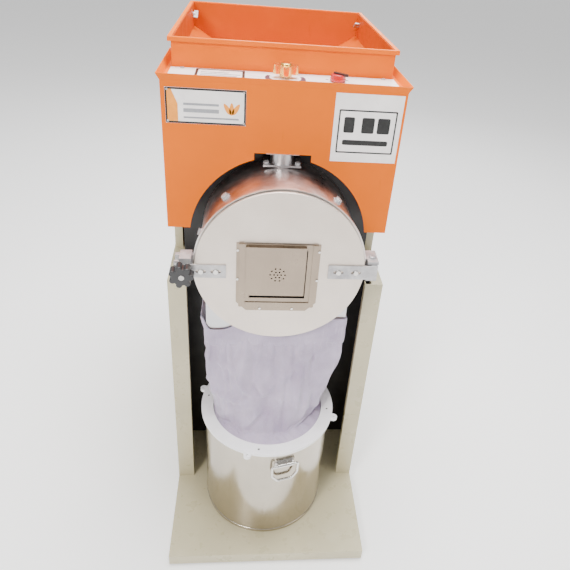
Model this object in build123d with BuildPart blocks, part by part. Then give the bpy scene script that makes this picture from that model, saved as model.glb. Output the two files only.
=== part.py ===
"""Hammer mill: a floor-standing flour mill with a swing-hammer rotor driven by a foot-mounted motor.

Frame: X to the right, front towards -Y, Z up, millimetres.
The origin is under the middle of the base, on the floor.
"""
import os
from math import cos, radians, sin

from build123d import *

os.makedirs("parts", exist_ok=True)

# ---------------------------------------------------------------- driving dimensions
WIDTH = 450.0                    # base, columns and hood
DEPTH = 850.0
SHEET = 1.5                      # cabinet sheet
HALF = WIDTH / 2

FRONT = -DEPTH / 2               # front edge of the base
BACK = DEPTH / 2
TRAY_TOP = 32.0
LIP_BOTTOM = 4.0

COLUMN_FRONT = -205.0
COLUMN_BACK = BACK - 2.0
COLUMN_TOP = 644.0
COLUMN_FLANGE = 38.0
COLUMN_LEDGE = 24.0

SIDE_FRONT = -70.0               # upper side panels, set in behind the columns
SIDE_BACK = 414.0
SIDE_OUTER = HALF - 2.0
SIDE_FLANGE = 17.0
SIDE_TOP = 1028.0

HOOD_FRONT = -152.0
HOOD_BACK = 419.0
HOOD_BOTTOM = 740.0
DECK_TOP = 1033.0                # top face of the hood, where the controls sit
RIM_OUT = 6.0
RIM_TOP = 1046.0
ARCH_RADIUS = 181.5
PANEL_HALF = 216.0               # control panel
NOTCH_WIDTH = 110.0
NOTCH_TOP = 905.0

AXIS_Z = 718.0                   # drum, rotor and motor share this axis
DRUM_RADIUS = 158.0
DRUM_WALL = 3.0
DRUM_FRONT = -264.0
DRUM_BACK = -100.0
RING_RADIUS = 166.0
RING_THICK = 6.0

DOOR_FRONT = -273.0
DOOR_THICK = 5.0
DOOR_RADIUS = 163.0

PARTITION_THICK = 3.0
PARTITION_TOP = 890.0
PARTITION_LOW_Y = -56.0          # the lower half stands further back, behind the bin
PARTITION_STEP = 556.0

SHELF_TOP = AXIS_Z - 90.0        # motor shaft height
SHELF_THICK = 5.0

HOPPER_HALF = 215.0
HOPPER_FRONT = -51.0
HOPPER_BACK = 411.0
HOPPER_RIM = 1088.0
HOPPER_HEM = 6.0
FUNNEL_SKIRT_TOP = 1086.0
FUNNEL_TOP = 1030.0
FUNNEL_BEND = 998.0              # the side walls get steeper below this bend
FUNNEL_BEND_HALF = 162.0
CHUTE_FLOOR = 903.0
CHUTE_ROOF = 953.0
CHUTE_HALF = 32.0

KNOB_Y = -93.0                   # feed knob and its spindle
SPINDLE_R = 5.0
THROAT_Y = -126.0
THROAT_R = 23.0

SWITCH_X = 99.0
SWITCH_Y = -99.0

BIN_X = -7.0
BIN_Y = -225.0
BIN_RADIUS = 144.0
BIN_TOP = 312.0
BIN_WALL = 1.0
HANDLE_ANGLE = 14.0
HANDLE_Z = 279.0

RING_BOTTOM = 312.3
BAG_RING_OUTER = 153.0
BAG_RING_INNER = 126.0
BAG_RING_THICK = 7.0

OUTLET_HALF = 144.0
OUTLET_FRONT = -250.0
OUTLET_BACK = -150.0
OUTLET_TOP = 640.0
OUTLET_BOTTOM = 536.0
BAG_TOP = 590.0
BAG_SHOULDER = 546.0             # the hem above it hugs the spout

SHAFT_R = 12.0
RUNNING = 0.05                   # radial clearance of a running fit
PIN_CIRCLE = 56.6                # half the side of the square of hammer pins
PIN_R = 6.0
HUB_R = 26.0
DISC_R = 95.0
DISC_THICK = 5.0
DISC_PITCH = 27.0
DISC_COUNT = 5
DISC_FIRST = -237.0

VENT_X = -5.0                    # middle of the air rose on the door
VENT_Z = AXIS_Z - 7.0

HINGE_X = 180.0
HINGE_Y = -252.0
HINGE_HALF = 15.5                # half the gap between the two hinge plates
LUG_BACK = -225.0
LUG_PLATE = 6.0
KNUCKLE_R = 8.0
STRAP_THICK = 3.0
STRAP_HEIGHT = 28.0
STRAP_LEFT_Z = AXIS_Z - 4.0
STRAP_SCREWS = ((-150, STRAP_LEFT_Z), (-122, STRAP_LEFT_Z), (112, AXIS_Z), (146, AXIS_Z))
LATCH_X = -184.0
LATCH_Z = AXIS_Z - 2.0
STUD_R = 4.0                     # latch stud and hinge pin
STUD_TIP = -258.0
KNOB_BACK = DOOR_FRONT - STRAP_THICK - 2.5      # back face of the latch knob
KNOB_CORE = 17.5
KNOB_LOBE = 5.9
KNOB_THICK = 19.5

MOTOR_FRONT = -62.0
MOTOR_BACK = 130.0
FRAME_R = 78.0

HANDLE_OFF = 8.0                 # pivot line out from the bin's wall
HANDLE_WIRE = 3.0


def save(builder, name):
    builder.part.label = name
    export_step(builder.part, f"parts/{name}.step")


def save_solids(builders, name):
    """Write several touching solids as one node."""
    export_step(Compound(label=name, children=[builder.part for builder in builders]),
                f"parts/{name}.step")


def axis_plane(y):
    """A sketch plane across the rotor axis, X to the right and up, facing the front."""
    return Plane(origin=(0, y, AXIS_Z), x_dir=(1, 0, 0), z_dir=(0, -1, 0))


def front_plane(y, z=0.0, x=0.0):
    return Plane(origin=(x, y, z), x_dir=(1, 0, 0), z_dir=(0, -1, 0))


def block(x0, x1, y0, y1, z0, z1, mode=Mode.ADD):
    """A box between two corners, in the builder that is open."""
    with Locations(((x0 + x1) / 2, (y0 + y1) / 2, (z0 + z1) / 2)):
        Box(abs(x1 - x0), abs(y1 - y0), abs(z1 - z0), mode=mode)


def turned(plane_y, radius, depth, mode=Mode.ADD):
    """A cylinder on the rotor axis from plane_y towards the back."""
    with BuildSketch(axis_plane(plane_y)) as disc:
        Circle(radius)
    extrude(disc.sketch, amount=-depth, mode=mode)


# ---------------------------------------------------------------- stand
def base_tray():
    with BuildPart() as tray:
        block(-HALF, HALF, FRONT, BACK, LIP_BOTTOM, TRAY_TOP)
        block(-HALF + 2, HALF - 2, FRONT + 2, BACK - 2, LIP_BOTTOM, TRAY_TOP - 2, Mode.SUBTRACT)
        fillet(tray.edges().filter_by(Axis.Z).group_by(SortBy.LENGTH)[-1], 1.2)
    save(tray, "base_tray")


def rubber_feet():
    with BuildPart() as feet:
        with BuildSketch(Plane.XY):
            with GridLocations(WIDTH - 70, DEPTH - 70, 2, 2):
                Circle(20)
        extrude(amount=TRAY_TOP - 2, taper=4)
    save(feet, "rubber_feet")


def column(side, name):
    outer = side * HALF
    web = outer - side * SHEET
    with BuildPart() as part:
        block(outer, web, COLUMN_FRONT, COLUMN_BACK, TRAY_TOP, COLUMN_TOP)
        block(outer, outer - side * COLUMN_FLANGE, COLUMN_FRONT, COLUMN_FRONT + SHEET,
              TRAY_TOP, COLUMN_TOP)
        lip = outer - side * COLUMN_FLANGE
        block(lip, lip + side * SHEET, COLUMN_FRONT, COLUMN_FRONT + 14, TRAY_TOP, COLUMN_TOP)
        block(outer, outer - side * COLUMN_FLANGE, COLUMN_BACK - SHEET, COLUMN_BACK,
              TRAY_TOP, COLUMN_TOP)
        block(outer, outer - side * COLUMN_LEDGE, COLUMN_FRONT, COLUMN_BACK,
              COLUMN_TOP - SHEET, COLUMN_TOP)
    save(part, name)


def side_panels():
    """The two upper side panels, which stand on the columns and carry the hood."""
    with BuildPart() as panels:
        for side in (-1, 1):
            outer = side * SIDE_OUTER
            block(outer, outer - side * SHEET, SIDE_FRONT, SIDE_BACK, COLUMN_TOP, SIDE_TOP)
            for y in (SIDE_FRONT, SIDE_BACK - SHEET):
                block(outer, outer - side * SIDE_FLANGE, y, y + SHEET, COLUMN_TOP, SIDE_TOP - 40)
    save(panels, "side_panels")


def partition():
    """A flat lower plate behind the bin, and a folded upper plate behind the drum."""
    low_back = PARTITION_LOW_Y + PARTITION_THICK
    with BuildPart() as low:
        block(-HALF + 3, HALF - 3, PARTITION_LOW_Y, low_back, TRAY_TOP,
              PARTITION_STEP - PARTITION_THICK)
    with BuildPart() as high:
        block(-HALF + 3, HALF - 3, DRUM_BACK, low_back, PARTITION_STEP - PARTITION_THICK,
              PARTITION_STEP)
        block(-HALF + 3, HALF - 3, DRUM_BACK, DRUM_BACK + PARTITION_THICK,
              PARTITION_STEP - PARTITION_THICK, COLUMN_TOP - SHEET)
        block(-HALF + 26, HALF - 26, DRUM_BACK, DRUM_BACK + PARTITION_THICK,
              COLUMN_TOP - SHEET, PARTITION_TOP)
        turned(DRUM_BACK - 1, 32, PARTITION_THICK + 2, Mode.SUBTRACT)
        with BuildSketch(axis_plane(DRUM_BACK - 1)):
            with PolarLocations(70, 6):
                Circle(5.2)
        extrude(amount=-PARTITION_THICK - 2, mode=Mode.SUBTRACT)
    save_solids([low, high], "partition")


def motor_shelf():
    low = SHELF_TOP - SHELF_THICK
    front = DRUM_BACK + PARTITION_THICK
    with BuildPart() as shelf:
        block(-HALF + 3, HALF - 3, front, 400, low, SHELF_TOP)
        for side in (-1, 1):
            block(side * (HALF - 3), side * (HALF - 8), front, 400, low - 35, low)
        with BuildSketch(Plane.XY.offset(low - 1)):
            with Locations((0, 35)):
                with GridLocations(140, 125, 2, 2):
                    Circle(5.5)
        extrude(amount=SHELF_THICK + 2, mode=Mode.SUBTRACT)
    save(shelf, "motor_shelf")


def back_panel():
    with BuildPart() as panel:
        block(-HALF + 10, HALF - 10, COLUMN_BACK, COLUMN_BACK + SHEET, TRAY_TOP + 4, HOOD_BOTTOM - 2)
        with BuildSketch(Plane(origin=(0, COLUMN_BACK - 1, 0), x_dir=(-1, 0, 0), z_dir=(0, 1, 0))):
            with Locations((0, 520)):
                with GridLocations(150, 22, 2, 9):
                    SlotOverall(110, 7)
            with Locations((-150, 90)):
                Circle(9.2)
        extrude(amount=SHEET + 2, mode=Mode.SUBTRACT)
    save(panel, "back_panel")


def cable_gland():
    """Compression gland low on the back panel, where the mains lead comes in."""
    y = COLUMN_BACK
    with BuildPart() as gland:
        with BuildSketch(Plane(origin=(150, y - 14, 90), x_dir=(1, 0, 0), z_dir=(0, 1, 0))):
            Circle(9)
        extrude(amount=14 + SHEET)
        with BuildSketch(Plane(origin=(150, y - 6, 90), x_dir=(1, 0, 0), z_dir=(0, 1, 0))):
            RegularPolygon(13, 6)
        extrude(amount=6)
        with BuildSketch(Plane(origin=(150, y - 15, 90), x_dir=(1, 0, 0), z_dir=(0, 1, 0))):
            Circle(4.2)
        extrude(amount=20, mode=Mode.SUBTRACT)
    save(gland, "cable_gland")


# ---------------------------------------------------------------- hood and controls
def rim_section(half_x, front, back, z, grow):
    """Rectangle of the flared rim at height z, grown outwards."""
    with BuildSketch(Plane.XY.offset(z)) as section:
        with Locations((0, (front + back) / 2)):
            Rectangle(2 * (half_x + grow), back - front + 2 * grow)
    return section.sketch


def hood_shell():
    inner_front = HOOD_FRONT + SHEET
    with BuildPart() as hood:
        block(-HALF, HALF, HOOD_FRONT, HOOD_BACK, HOOD_BOTTOM, DECK_TOP)
        block(-HALF + SHEET, HALF - SHEET, inner_front, HOOD_BACK - SHEET,
              HOOD_BOTTOM, DECK_TOP - SHEET, Mode.SUBTRACT)
        # the opening for the hopper, and the holes for the spindle and the switch
        block(-HOPPER_HALF - 1, HOPPER_HALF + 1, HOPPER_FRONT - 2, HOPPER_BACK + 2,
              DECK_TOP - 2, DECK_TOP + 1, Mode.SUBTRACT)
        with BuildSketch(Plane.XY.offset(DECK_TOP - 2)):
            with Locations((0, KNOB_Y)):
                Circle(SPINDLE_R + 1)
            with Locations((SWITCH_X, SWITCH_Y)):
                Circle(7)
        extrude(amount=4, mode=Mode.SUBTRACT)
        # the arch that the drum passes through, with its notch over the feed throat
        with BuildSketch(axis_plane(HOOD_FRONT - 1)):
            Circle(ARCH_RADIUS)
            with Locations((0, (NOTCH_TOP - AXIS_Z) / 2)):
                Rectangle(NOTCH_WIDTH, NOTCH_TOP - AXIS_Z)
        extrude(amount=-SHEET - 2, mode=Mode.SUBTRACT)
        # the flared rim
        loft([rim_section(HALF, HOOD_FRONT, HOOD_BACK, DECK_TOP, 0),
              rim_section(HALF, HOOD_FRONT, HOOD_BACK, RIM_TOP, RIM_OUT)])
        loft([rim_section(HALF, HOOD_FRONT, HOOD_BACK, DECK_TOP, -SHEET),
              rim_section(HALF, HOOD_FRONT, HOOD_BACK, RIM_TOP, RIM_OUT - SHEET)],
             mode=Mode.SUBTRACT)
    save(hood, "hood_shell")


def control_panel():
    with BuildPart() as panel:
        block(-PANEL_HALF, PANEL_HALF, -129, -57, DECK_TOP, DECK_TOP + 1.2)
        with BuildSketch(Plane.XY.offset(DECK_TOP - 1)):
            with Locations((0, KNOB_Y)):
                Circle(SPINDLE_R + 1)
            with Locations((SWITCH_X, SWITCH_Y)):
                Circle(7)
        extrude(amount=4, mode=Mode.SUBTRACT)
    save(panel, "control_panel")


def label_plates():
    """Two blank plates on the front of the hood."""
    with BuildPart() as plates:
        block(-217, -72, HOOD_FRONT - 0.8, HOOD_FRONT, 957, 1022)
        block(91, 220, HOOD_FRONT - 0.8, HOOD_FRONT, 896, 1028)
    save(plates, "label_plates")


def cover_screws():
    """Pan-head screws of the hood, the control panel and the back panel."""
    head_r = 4.0
    head_h = 2.2
    with BuildPart() as screws:
        with BuildSketch(Plane.XY.offset(DECK_TOP + 1.2)):
            with Locations((-94, -120), (194, -120), (-194, -64), (194, -64)):
                Circle(head_r)
        extrude(amount=head_h, taper=12)
        for side in (-1, 1):
            with BuildSketch(Plane(origin=(side * HALF, 150, 882), x_dir=(0, side, 0),
                                   z_dir=(side, 0, 0))):
                with GridLocations(480, 235, 2, 2):
                    Circle(head_r)
            extrude(amount=head_h, taper=12)
        with BuildSketch(Plane(origin=(0, COLUMN_BACK + SHEET, 0), x_dir=(-1, 0, 0),
                               z_dir=(0, 1, 0))):
            with Locations((0, 385)):
                with GridLocations(2 * (HALF - 22), 330, 2, 3):
                    Circle(head_r * 0.8)
        extrude(amount=0.5)
    save(screws, "cover_screws")


def feed_knob():
    """Four-lobed brass knob on the feed spindle."""
    base = DECK_TOP + 5
    with BuildPart() as knob:
        with BuildSketch(Plane.XY.offset(base)):
            with Locations((0, KNOB_Y)):
                Circle(12)
        extrude(amount=24)
        with BuildSketch(Plane.XY.offset(base + 4)):
            with Locations((0, KNOB_Y)):
                Circle(13.5)
                with PolarLocations(15.5, 4):
                    Circle(8.5)
        extrude(amount=17)
        fillet(knob.edges().group_by(Axis.Z)[-1], 2.5)
        with BuildSketch(Plane.XY.offset(base - 1)):
            with Locations((0, KNOB_Y)):
                Circle(SPINDLE_R)
        extrude(amount=18, mode=Mode.SUBTRACT)
    save(knob, "feed_knob")


def feed_gate():
    """Vertical spindle with a flat vane that turns across or along the feed chute."""
    with BuildPart() as gate:
        with BuildSketch(Plane.XY.offset(CHUTE_FLOOR + 2)):
            with Locations((0, KNOB_Y)):
                Circle(SPINDLE_R)
        extrude(amount=DECK_TOP + 20 - CHUTE_FLOOR)
        block(-28, 28, KNOB_Y - 1.5, KNOB_Y + 1.5, CHUTE_FLOOR + 3, CHUTE_ROOF - 4)
    save(gate, "feed_gate")


def switch_knob():
    """Short round knob."""
    base = DECK_TOP + 3.2
    with BuildPart() as knob:
        with BuildSketch(Plane.XY.offset(base)):
            with Locations((SWITCH_X, SWITCH_Y)):
                Circle(15)
        extrude(amount=4.5)
        with BuildSketch(Plane.XY.offset(base + 4.5)):
            with Locations((SWITCH_X, SWITCH_Y)):
                Circle(13.8)
        extrude(amount=7.3, taper=4)
        fillet(knob.edges().group_by(Axis.Z)[-1], 1.2)
        with BuildSketch(Plane.XY.offset(base - 1)):
            with Locations((SWITCH_X, SWITCH_Y)):
                Circle(3 + RUNNING)
        extrude(amount=9, mode=Mode.SUBTRACT)
    save(knob, "switch_knob")


def switch_body():
    top = DECK_TOP - SHEET
    with BuildPart() as body:
        block(SWITCH_X - 22, SWITCH_X + 22, SWITCH_Y - 22, SWITCH_Y + 22, top - 42, top)
        with BuildSketch(Plane.XY.offset(top)):
            with Locations((SWITCH_X, SWITCH_Y)):
                Circle(3)
        extrude(amount=10.5)
    save(body, "switch_body")


# ---------------------------------------------------------------- hopper and feed path
def hopper_tray():
    middle = (HOPPER_FRONT + HOPPER_BACK) / 2
    length = HOPPER_BACK - HOPPER_FRONT
    foot = DECK_TOP - 28
    with BuildPart() as tray:
        block(-HOPPER_HALF, HOPPER_HALF, HOPPER_FRONT, HOPPER_BACK, foot, HOPPER_RIM)
        with BuildSketch(Plane.XY.offset(HOPPER_RIM - 8)):
            with Locations((0, middle)):
                Rectangle(2 * (HOPPER_HALF + HOPPER_HEM), length + 2 * HOPPER_HEM)
        extrude(amount=8)
        with BuildSketch(Plane.XY.offset(HOPPER_RIM - 8)):
            with Locations((0, middle)):
                Rectangle(2 * (HOPPER_HALF + HOPPER_HEM - SHEET), length + 2 * (HOPPER_HEM - SHEET))
                Rectangle(2 * HOPPER_HALF, length, mode=Mode.SUBTRACT)
        extrude(amount=8 - SHEET, mode=Mode.SUBTRACT)
        for side in (-1, 1):
            block(side * HOPPER_HALF, side * (SIDE_OUTER - SHEET), HOPPER_FRONT + 20,
                  HOPPER_BACK - 20, foot, foot + SHEET)
        block(-HOPPER_HALF + SHEET, HOPPER_HALF - SHEET, HOPPER_FRONT + SHEET,
              HOPPER_BACK - SHEET, foot - 1, HOPPER_RIM + 1, Mode.SUBTRACT)
    save(tray, "hopper_tray")


def funnel_section(z, half_x, front, back):
    with BuildSketch(Plane.XY.offset(z)) as section:
        with Locations((0, (front + back) / 2)):
            Rectangle(2 * half_x, back - front)
    return section.sketch


def hopper_funnel():
    """Four bent walls that lead down and forward from the hopper to the feed chute."""
    skirt = HOPPER_HALF - SHEET
    front = HOPPER_FRONT + SHEET
    back = HOPPER_BACK - SHEET
    throat_back = front + 30
    with BuildPart() as funnel:
        block(-skirt, skirt, front, back, FUNNEL_TOP, FUNNEL_SKIRT_TOP)
        loft([funnel_section(FUNNEL_BEND, FUNNEL_BEND_HALF, front, back),
              funnel_section(FUNNEL_TOP, skirt, front, back)])
        loft([funnel_section(CHUTE_FLOOR, CHUTE_HALF, front, throat_back),
              funnel_section(FUNNEL_BEND, FUNNEL_BEND_HALF, front, back)])
        block(-skirt + SHEET, skirt - SHEET, front + SHEET, back - SHEET,
              FUNNEL_TOP, FUNNEL_SKIRT_TOP + 1, Mode.SUBTRACT)
        bend = funnel_section(FUNNEL_BEND, FUNNEL_BEND_HALF - SHEET, front + SHEET, back - SHEET)
        loft([bend, funnel_section(FUNNEL_TOP, skirt - SHEET, front + SHEET, back - SHEET)],
             mode=Mode.SUBTRACT)
        loft([funnel_section(CHUTE_FLOOR + SHEET, CHUTE_HALF - SHEET, front + SHEET, throat_back),
              bend], mode=Mode.SUBTRACT)
        block(-CHUTE_HALF + SHEET, CHUTE_HALF - SHEET, front - 1, front + 3,
              CHUTE_FLOOR + SHEET, CHUTE_ROOF - SHEET, Mode.SUBTRACT)
    save(funnel, "hopper_funnel")


def feed_throat():
    """Box chute under the control panel, with the round throat and its flange on the drum."""
    front = THROAT_Y - THROAT_R - 1
    back = HOPPER_FRONT + SHEET
    drum_top = AXIS_Z + DRUM_RADIUS
    with BuildPart() as throat:
        block(-CHUTE_HALF, CHUTE_HALF, front, back, CHUTE_FLOOR, CHUTE_ROOF)
        with BuildSketch(Plane.XY.offset(drum_top - 8)):
            with Locations((0, THROAT_Y)):
                Circle(THROAT_R)
        extrude(amount=CHUTE_FLOOR - drum_top + 8)
        block(-37, 37, THROAT_Y - 24, THROAT_Y + 24, drum_top + 1, drum_top + 5)
        block(-CHUTE_HALF + SHEET, CHUTE_HALF - SHEET, front + SHEET, back + 1,
              CHUTE_FLOOR + SHEET, CHUTE_ROOF - SHEET, Mode.SUBTRACT)
        with BuildSketch(Plane.XY.offset(drum_top - 10)):
            with Locations((0, THROAT_Y)):
                Circle(THROAT_R - SHEET)
        extrude(amount=CHUTE_FLOOR - drum_top + 14, mode=Mode.SUBTRACT)
        with BuildSketch(Plane.XY.offset(CHUTE_ROOF - 3)):
            with Locations((0, KNOB_Y)):
                Circle(SPINDLE_R + RUNNING)
        extrude(amount=6, mode=Mode.SUBTRACT)
        turned(DRUM_FRONT, DRUM_RADIUS, DRUM_BACK - DRUM_FRONT, Mode.SUBTRACT)
    save(throat, "feed_throat")


def hopper_bolts():
    """Four bolts with wing nuts that join the hopper tray to the funnel skirt."""
    z = 1062.0
    with BuildPart() as bolts:
        for side in (-1, 1):
            for y in (HOPPER_FRONT + 26, HOPPER_BACK - 34):
                outside = side * HOPPER_HALF
                inside = side * (HOPPER_HALF - 2 * SHEET)
                with BuildSketch(Plane(origin=(outside, y, z), x_dir=(0, 1, 0),
                                       z_dir=(side, 0, 0))):
                    RegularPolygon(5.8, 6)
                extrude(amount=4)
                with BuildSketch(Plane(origin=(inside, y, z), x_dir=(0, 1, 0),
                                       z_dir=(-side, 0, 0))):
                    Circle(6)
                extrude(amount=6)
                with BuildSketch(Plane(origin=(inside - side * 2, y, z), x_dir=(0, 1, 0),
                                       z_dir=(-side, 0, 0))):
                    SlotOverall(30, 5, rotation=25)
                extrude(amount=10)
    save(bolts, "hopper_bolts")


# ---------------------------------------------------------------- grinding drum
def drum_shell():
    """Drum with its welded back plate, open at the feed throat and over the outlet."""
    with BuildPart() as drum:
        turned(DRUM_FRONT, DRUM_RADIUS, DRUM_BACK - DRUM_FRONT)
        turned(DRUM_FRONT - 1, DRUM_RADIUS - DRUM_WALL, DRUM_BACK - DRUM_FRONT - 5, Mode.SUBTRACT)
        turned(DRUM_FRONT, SHAFT_R + 1.5, DRUM_BACK - DRUM_FRONT, Mode.SUBTRACT)
        with BuildSketch(Plane.XY.offset(AXIS_Z + 100)):
            with Locations((0, THROAT_Y)):
                Circle(THROAT_R + 0.2)
        extrude(amount=80, mode=Mode.SUBTRACT)
        block(-105, 105, OUTLET_FRONT + 4, OUTLET_BACK - 4, AXIS_Z - 170, AXIS_Z - 60, Mode.SUBTRACT)
    save(drum, "drum_shell")


def drum_front_ring():
    with BuildPart() as ring:
        turned(DRUM_FRONT, RING_RADIUS, RING_THICK)
        turned(DRUM_FRONT - 1, DRUM_RADIUS, RING_THICK + 2, Mode.SUBTRACT)
    save(ring, "drum_front_ring")


def drum_bolts():
    """Hexagon bolts round the drum that hold the liner, and those of the back plate."""
    with BuildPart() as bolts:
        for angle in (-75, -42, 42, 75):
            place = Plane(origin=(DRUM_RADIUS * sin(radians(angle)), -205,
                                  AXIS_Z + DRUM_RADIUS * cos(radians(angle))),
                          x_dir=(0, 1, 0), z_dir=(sin(radians(angle)), 0, cos(radians(angle))))
            with BuildSketch(place):
                Circle(9)
            extrude(amount=2.2)
            with BuildSketch(place.offset(2.2)):
                RegularPolygon(6.6, 6)
            extrude(amount=5)
        with BuildSketch(axis_plane(DRUM_BACK)):
            with PolarLocations(70, 6):
                Circle(5)
        extrude(amount=-PARTITION_THICK - 4)
        with BuildSketch(Plane.XY.offset(AXIS_Z + DRUM_RADIUS + 5)):
            with Locations((-31, THROAT_Y - 14), (31, THROAT_Y - 14)):
                RegularPolygon(5.5, 6)
        extrude(amount=4)
    save(bolts, "drum_bolts")


def grinding_liner():
    """Toothed liner round the upper part of the drum."""
    outer = DRUM_RADIUS - DRUM_WALL
    inner = outer - 7
    front = DRUM_FRONT + 12
    length = 138.0
    with BuildPart() as liner:
        turned(front, outer, length)
        turned(front - 1, inner, length + 2, Mode.SUBTRACT)
        block(-outer, outer, front - 1, front + length + 1, AXIS_Z - outer, AXIS_Z - 10, Mode.SUBTRACT)
        with BuildSketch(axis_plane(front - 1)):
            for step in range(21):
                angle = 4 + step * 8.6
                with Locations((inner * cos(radians(angle)), inner * sin(radians(angle)))):
                    Rectangle(7, 7, rotation=angle + 45)
        extrude(amount=-length - 2, mode=Mode.SUBTRACT)
        with BuildSketch(Plane.XY.offset(AXIS_Z + 100)):
            with Locations((0, THROAT_Y)):
                Circle(THROAT_R + 0.5)
        extrude(amount=80, mode=Mode.SUBTRACT)
    save(liner, "grinding_liner")


def flour_screen():
    """Curved perforated screen under the rotor."""
    outer = DRUM_RADIUS - DRUM_WALL - 2
    front = DRUM_FRONT + 12
    length = 138.0
    with BuildPart() as screen:
        turned(front, outer, length)
        turned(front - 1, outer - 2, length + 2, Mode.SUBTRACT)
        block(-outer - 1, outer + 1, front - 1, front + length + 1, AXIS_Z - 14, AXIS_Z + outer + 1,
              Mode.SUBTRACT)
        for row in range(6):
            y = front + 24 + row * 18
            for step in range(11):
                angle = -140 + step * 10 + (row % 2) * 5 - 2.5
                place = Plane(origin=(0, y, AXIS_Z), x_dir=(0, 1, 0),
                              z_dir=(cos(radians(angle)), 0, sin(radians(angle))))
                with BuildSketch(place.offset(outer - 6)):
                    Circle(2.5)
                extrude(amount=10, mode=Mode.SUBTRACT)
    save(screen, "flour_screen")


def outlet_chute():
    """Rectangular spout under the drum that the bag is tied round."""
    with BuildPart() as chute:
        block(-OUTLET_HALF, OUTLET_HALF, OUTLET_FRONT, OUTLET_BACK, OUTLET_BOTTOM, OUTLET_TOP)
        block(-OUTLET_HALF + 2, OUTLET_HALF - 2, OUTLET_FRONT + 2, OUTLET_BACK - 2,
              OUTLET_BOTTOM - 1, OUTLET_TOP + 1, Mode.SUBTRACT)
        turned(OUTLET_FRONT - 1, DRUM_RADIUS, OUTLET_BACK - OUTLET_FRONT + 2, Mode.SUBTRACT)
    save(chute, "outlet_chute")


def door_lugs():
    """Hinge lug on the right and latch lug on the left, welded to the drum's sides."""
    top = AXIS_Z + HINGE_HALF
    low = AXIS_Z - HINGE_HALF
    beside_ring = RING_RADIUS + 3
    behind_ring = DRUM_FRONT + RING_THICK + 0.5
    with BuildPart() as lugs:
        # hinge: two plates with a nose outside the ring, and the web that joins them
        for z in (top, low - LUG_PLATE):
            block(140, HINGE_X + 10, behind_ring, LUG_BACK, z, z + LUG_PLATE)
            block(beside_ring, HINGE_X + 10, HINGE_Y - 18, LUG_BACK, z, z + LUG_PLATE)
        block(140, HINGE_X + 10, LUG_BACK - 10, LUG_BACK, low, top)
        with BuildSketch(Plane.XY.offset(low - LUG_PLATE - 1)):
            with Locations((HINGE_X, HINGE_Y)):
                Circle(STUD_R)
        extrude(amount=top - low + 20, mode=Mode.SUBTRACT)
        # latch: a front plate for the stud, a top plate back to the block on the drum
        block(LATCH_X - 16, LATCH_X + 14, DOOR_FRONT + 0.3, DOOR_FRONT + 5.3, low - LUG_PLATE, top)
        block(LATCH_X - 6, -beside_ring + 1, DOOR_FRONT + 0.3, LUG_BACK - 15, top, top + LUG_PLATE)
        block(LATCH_X - 16, -140, LUG_BACK - 25, LUG_BACK - 15, low - LUG_PLATE, top)
        with BuildSketch(front_plane(DOOR_FRONT - 0.5, LATCH_Z, LATCH_X)):
            Circle(STUD_R + 0.6)
        extrude(amount=-8, mode=Mode.SUBTRACT)
        turned(DRUM_FRONT + 5, DRUM_RADIUS, 44, Mode.SUBTRACT)
    save(lugs, "door_lugs")


def hinge_pin():
    top = AXIS_Z + HINGE_HALF + LUG_PLATE
    low = AXIS_Z - HINGE_HALF - LUG_PLATE
    with BuildPart() as pin:
        with BuildSketch(Plane.XY.offset(low - 4)):
            with Locations((HINGE_X, HINGE_Y)):
                Circle(STUD_R - RUNNING)
        extrude(amount=top - low + 6)
        with BuildSketch(Plane.XY.offset(top)):
            with Locations((HINGE_X, HINGE_Y)):
                Circle(7)
        extrude(amount=4)
        fillet(pin.edges().group_by(Axis.Z)[-1], 2.5)
    save(pin, "hinge_pin")


# ---------------------------------------------------------------- door
def door_disc():
    with BuildPart() as door:
        turned(DOOR_FRONT, DOOR_RADIUS, DOOR_THICK)
        fillet(door.edges().group_by(Axis.Y)[0], 1.5)
        block(VENT_X - 56, VENT_X + 62, DOOR_FRONT - 1, DOOR_FRONT + DOOR_THICK + 1,
              VENT_Z - 60, VENT_Z + 56, Mode.SUBTRACT)
    save(door, "door_disc")


def door_gasket():
    start = DOOR_FRONT + DOOR_THICK
    with BuildPart() as gasket:
        turned(start, DRUM_RADIUS + 3, DRUM_FRONT - start - 0.3)
        turned(start - 1, DRUM_RADIUS - 8, 10, Mode.SUBTRACT)
    save(gasket, "door_gasket")


def vent_outline(half_w, low, high, corner):
    with BuildLine() as outline:
        Polyline((VENT_X - half_w, VENT_Z + high), (VENT_X - half_w, VENT_Z - low + corner),
                 (VENT_X - half_w + corner, VENT_Z - low), (VENT_X + half_w - corner, VENT_Z - low),
                 (VENT_X + half_w, VENT_Z - low + corner), (VENT_X + half_w, VENT_Z + high),
                 close=True)
    make_face(outline.edges())


def vent_frame():
    """U-shaped frame with a groove in which the vent cover slides up."""
    with BuildPart() as frame:
        with BuildSketch(front_plane(DOOR_FRONT)):
            vent_outline(79, 87, 66, 20)
        extrude(amount=1.5)
        with BuildSketch(front_plane(DOOR_FRONT - 1.5)):
            vent_outline(74, 76, 66, 2)
        extrude(amount=4)
        # the groove for the cover, and the window in front of it
        block(VENT_X - 69, VENT_X + 69, DOOR_FRONT - 4, DOOR_FRONT - 1.5,
              VENT_Z - 71, VENT_Z + 70, Mode.SUBTRACT)
        block(VENT_X - 62, VENT_X + 64, DOOR_FRONT - 7, DOOR_FRONT + 1,
              VENT_Z - 65, VENT_Z + 70, Mode.SUBTRACT)
    save(frame, "vent_frame")


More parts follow.
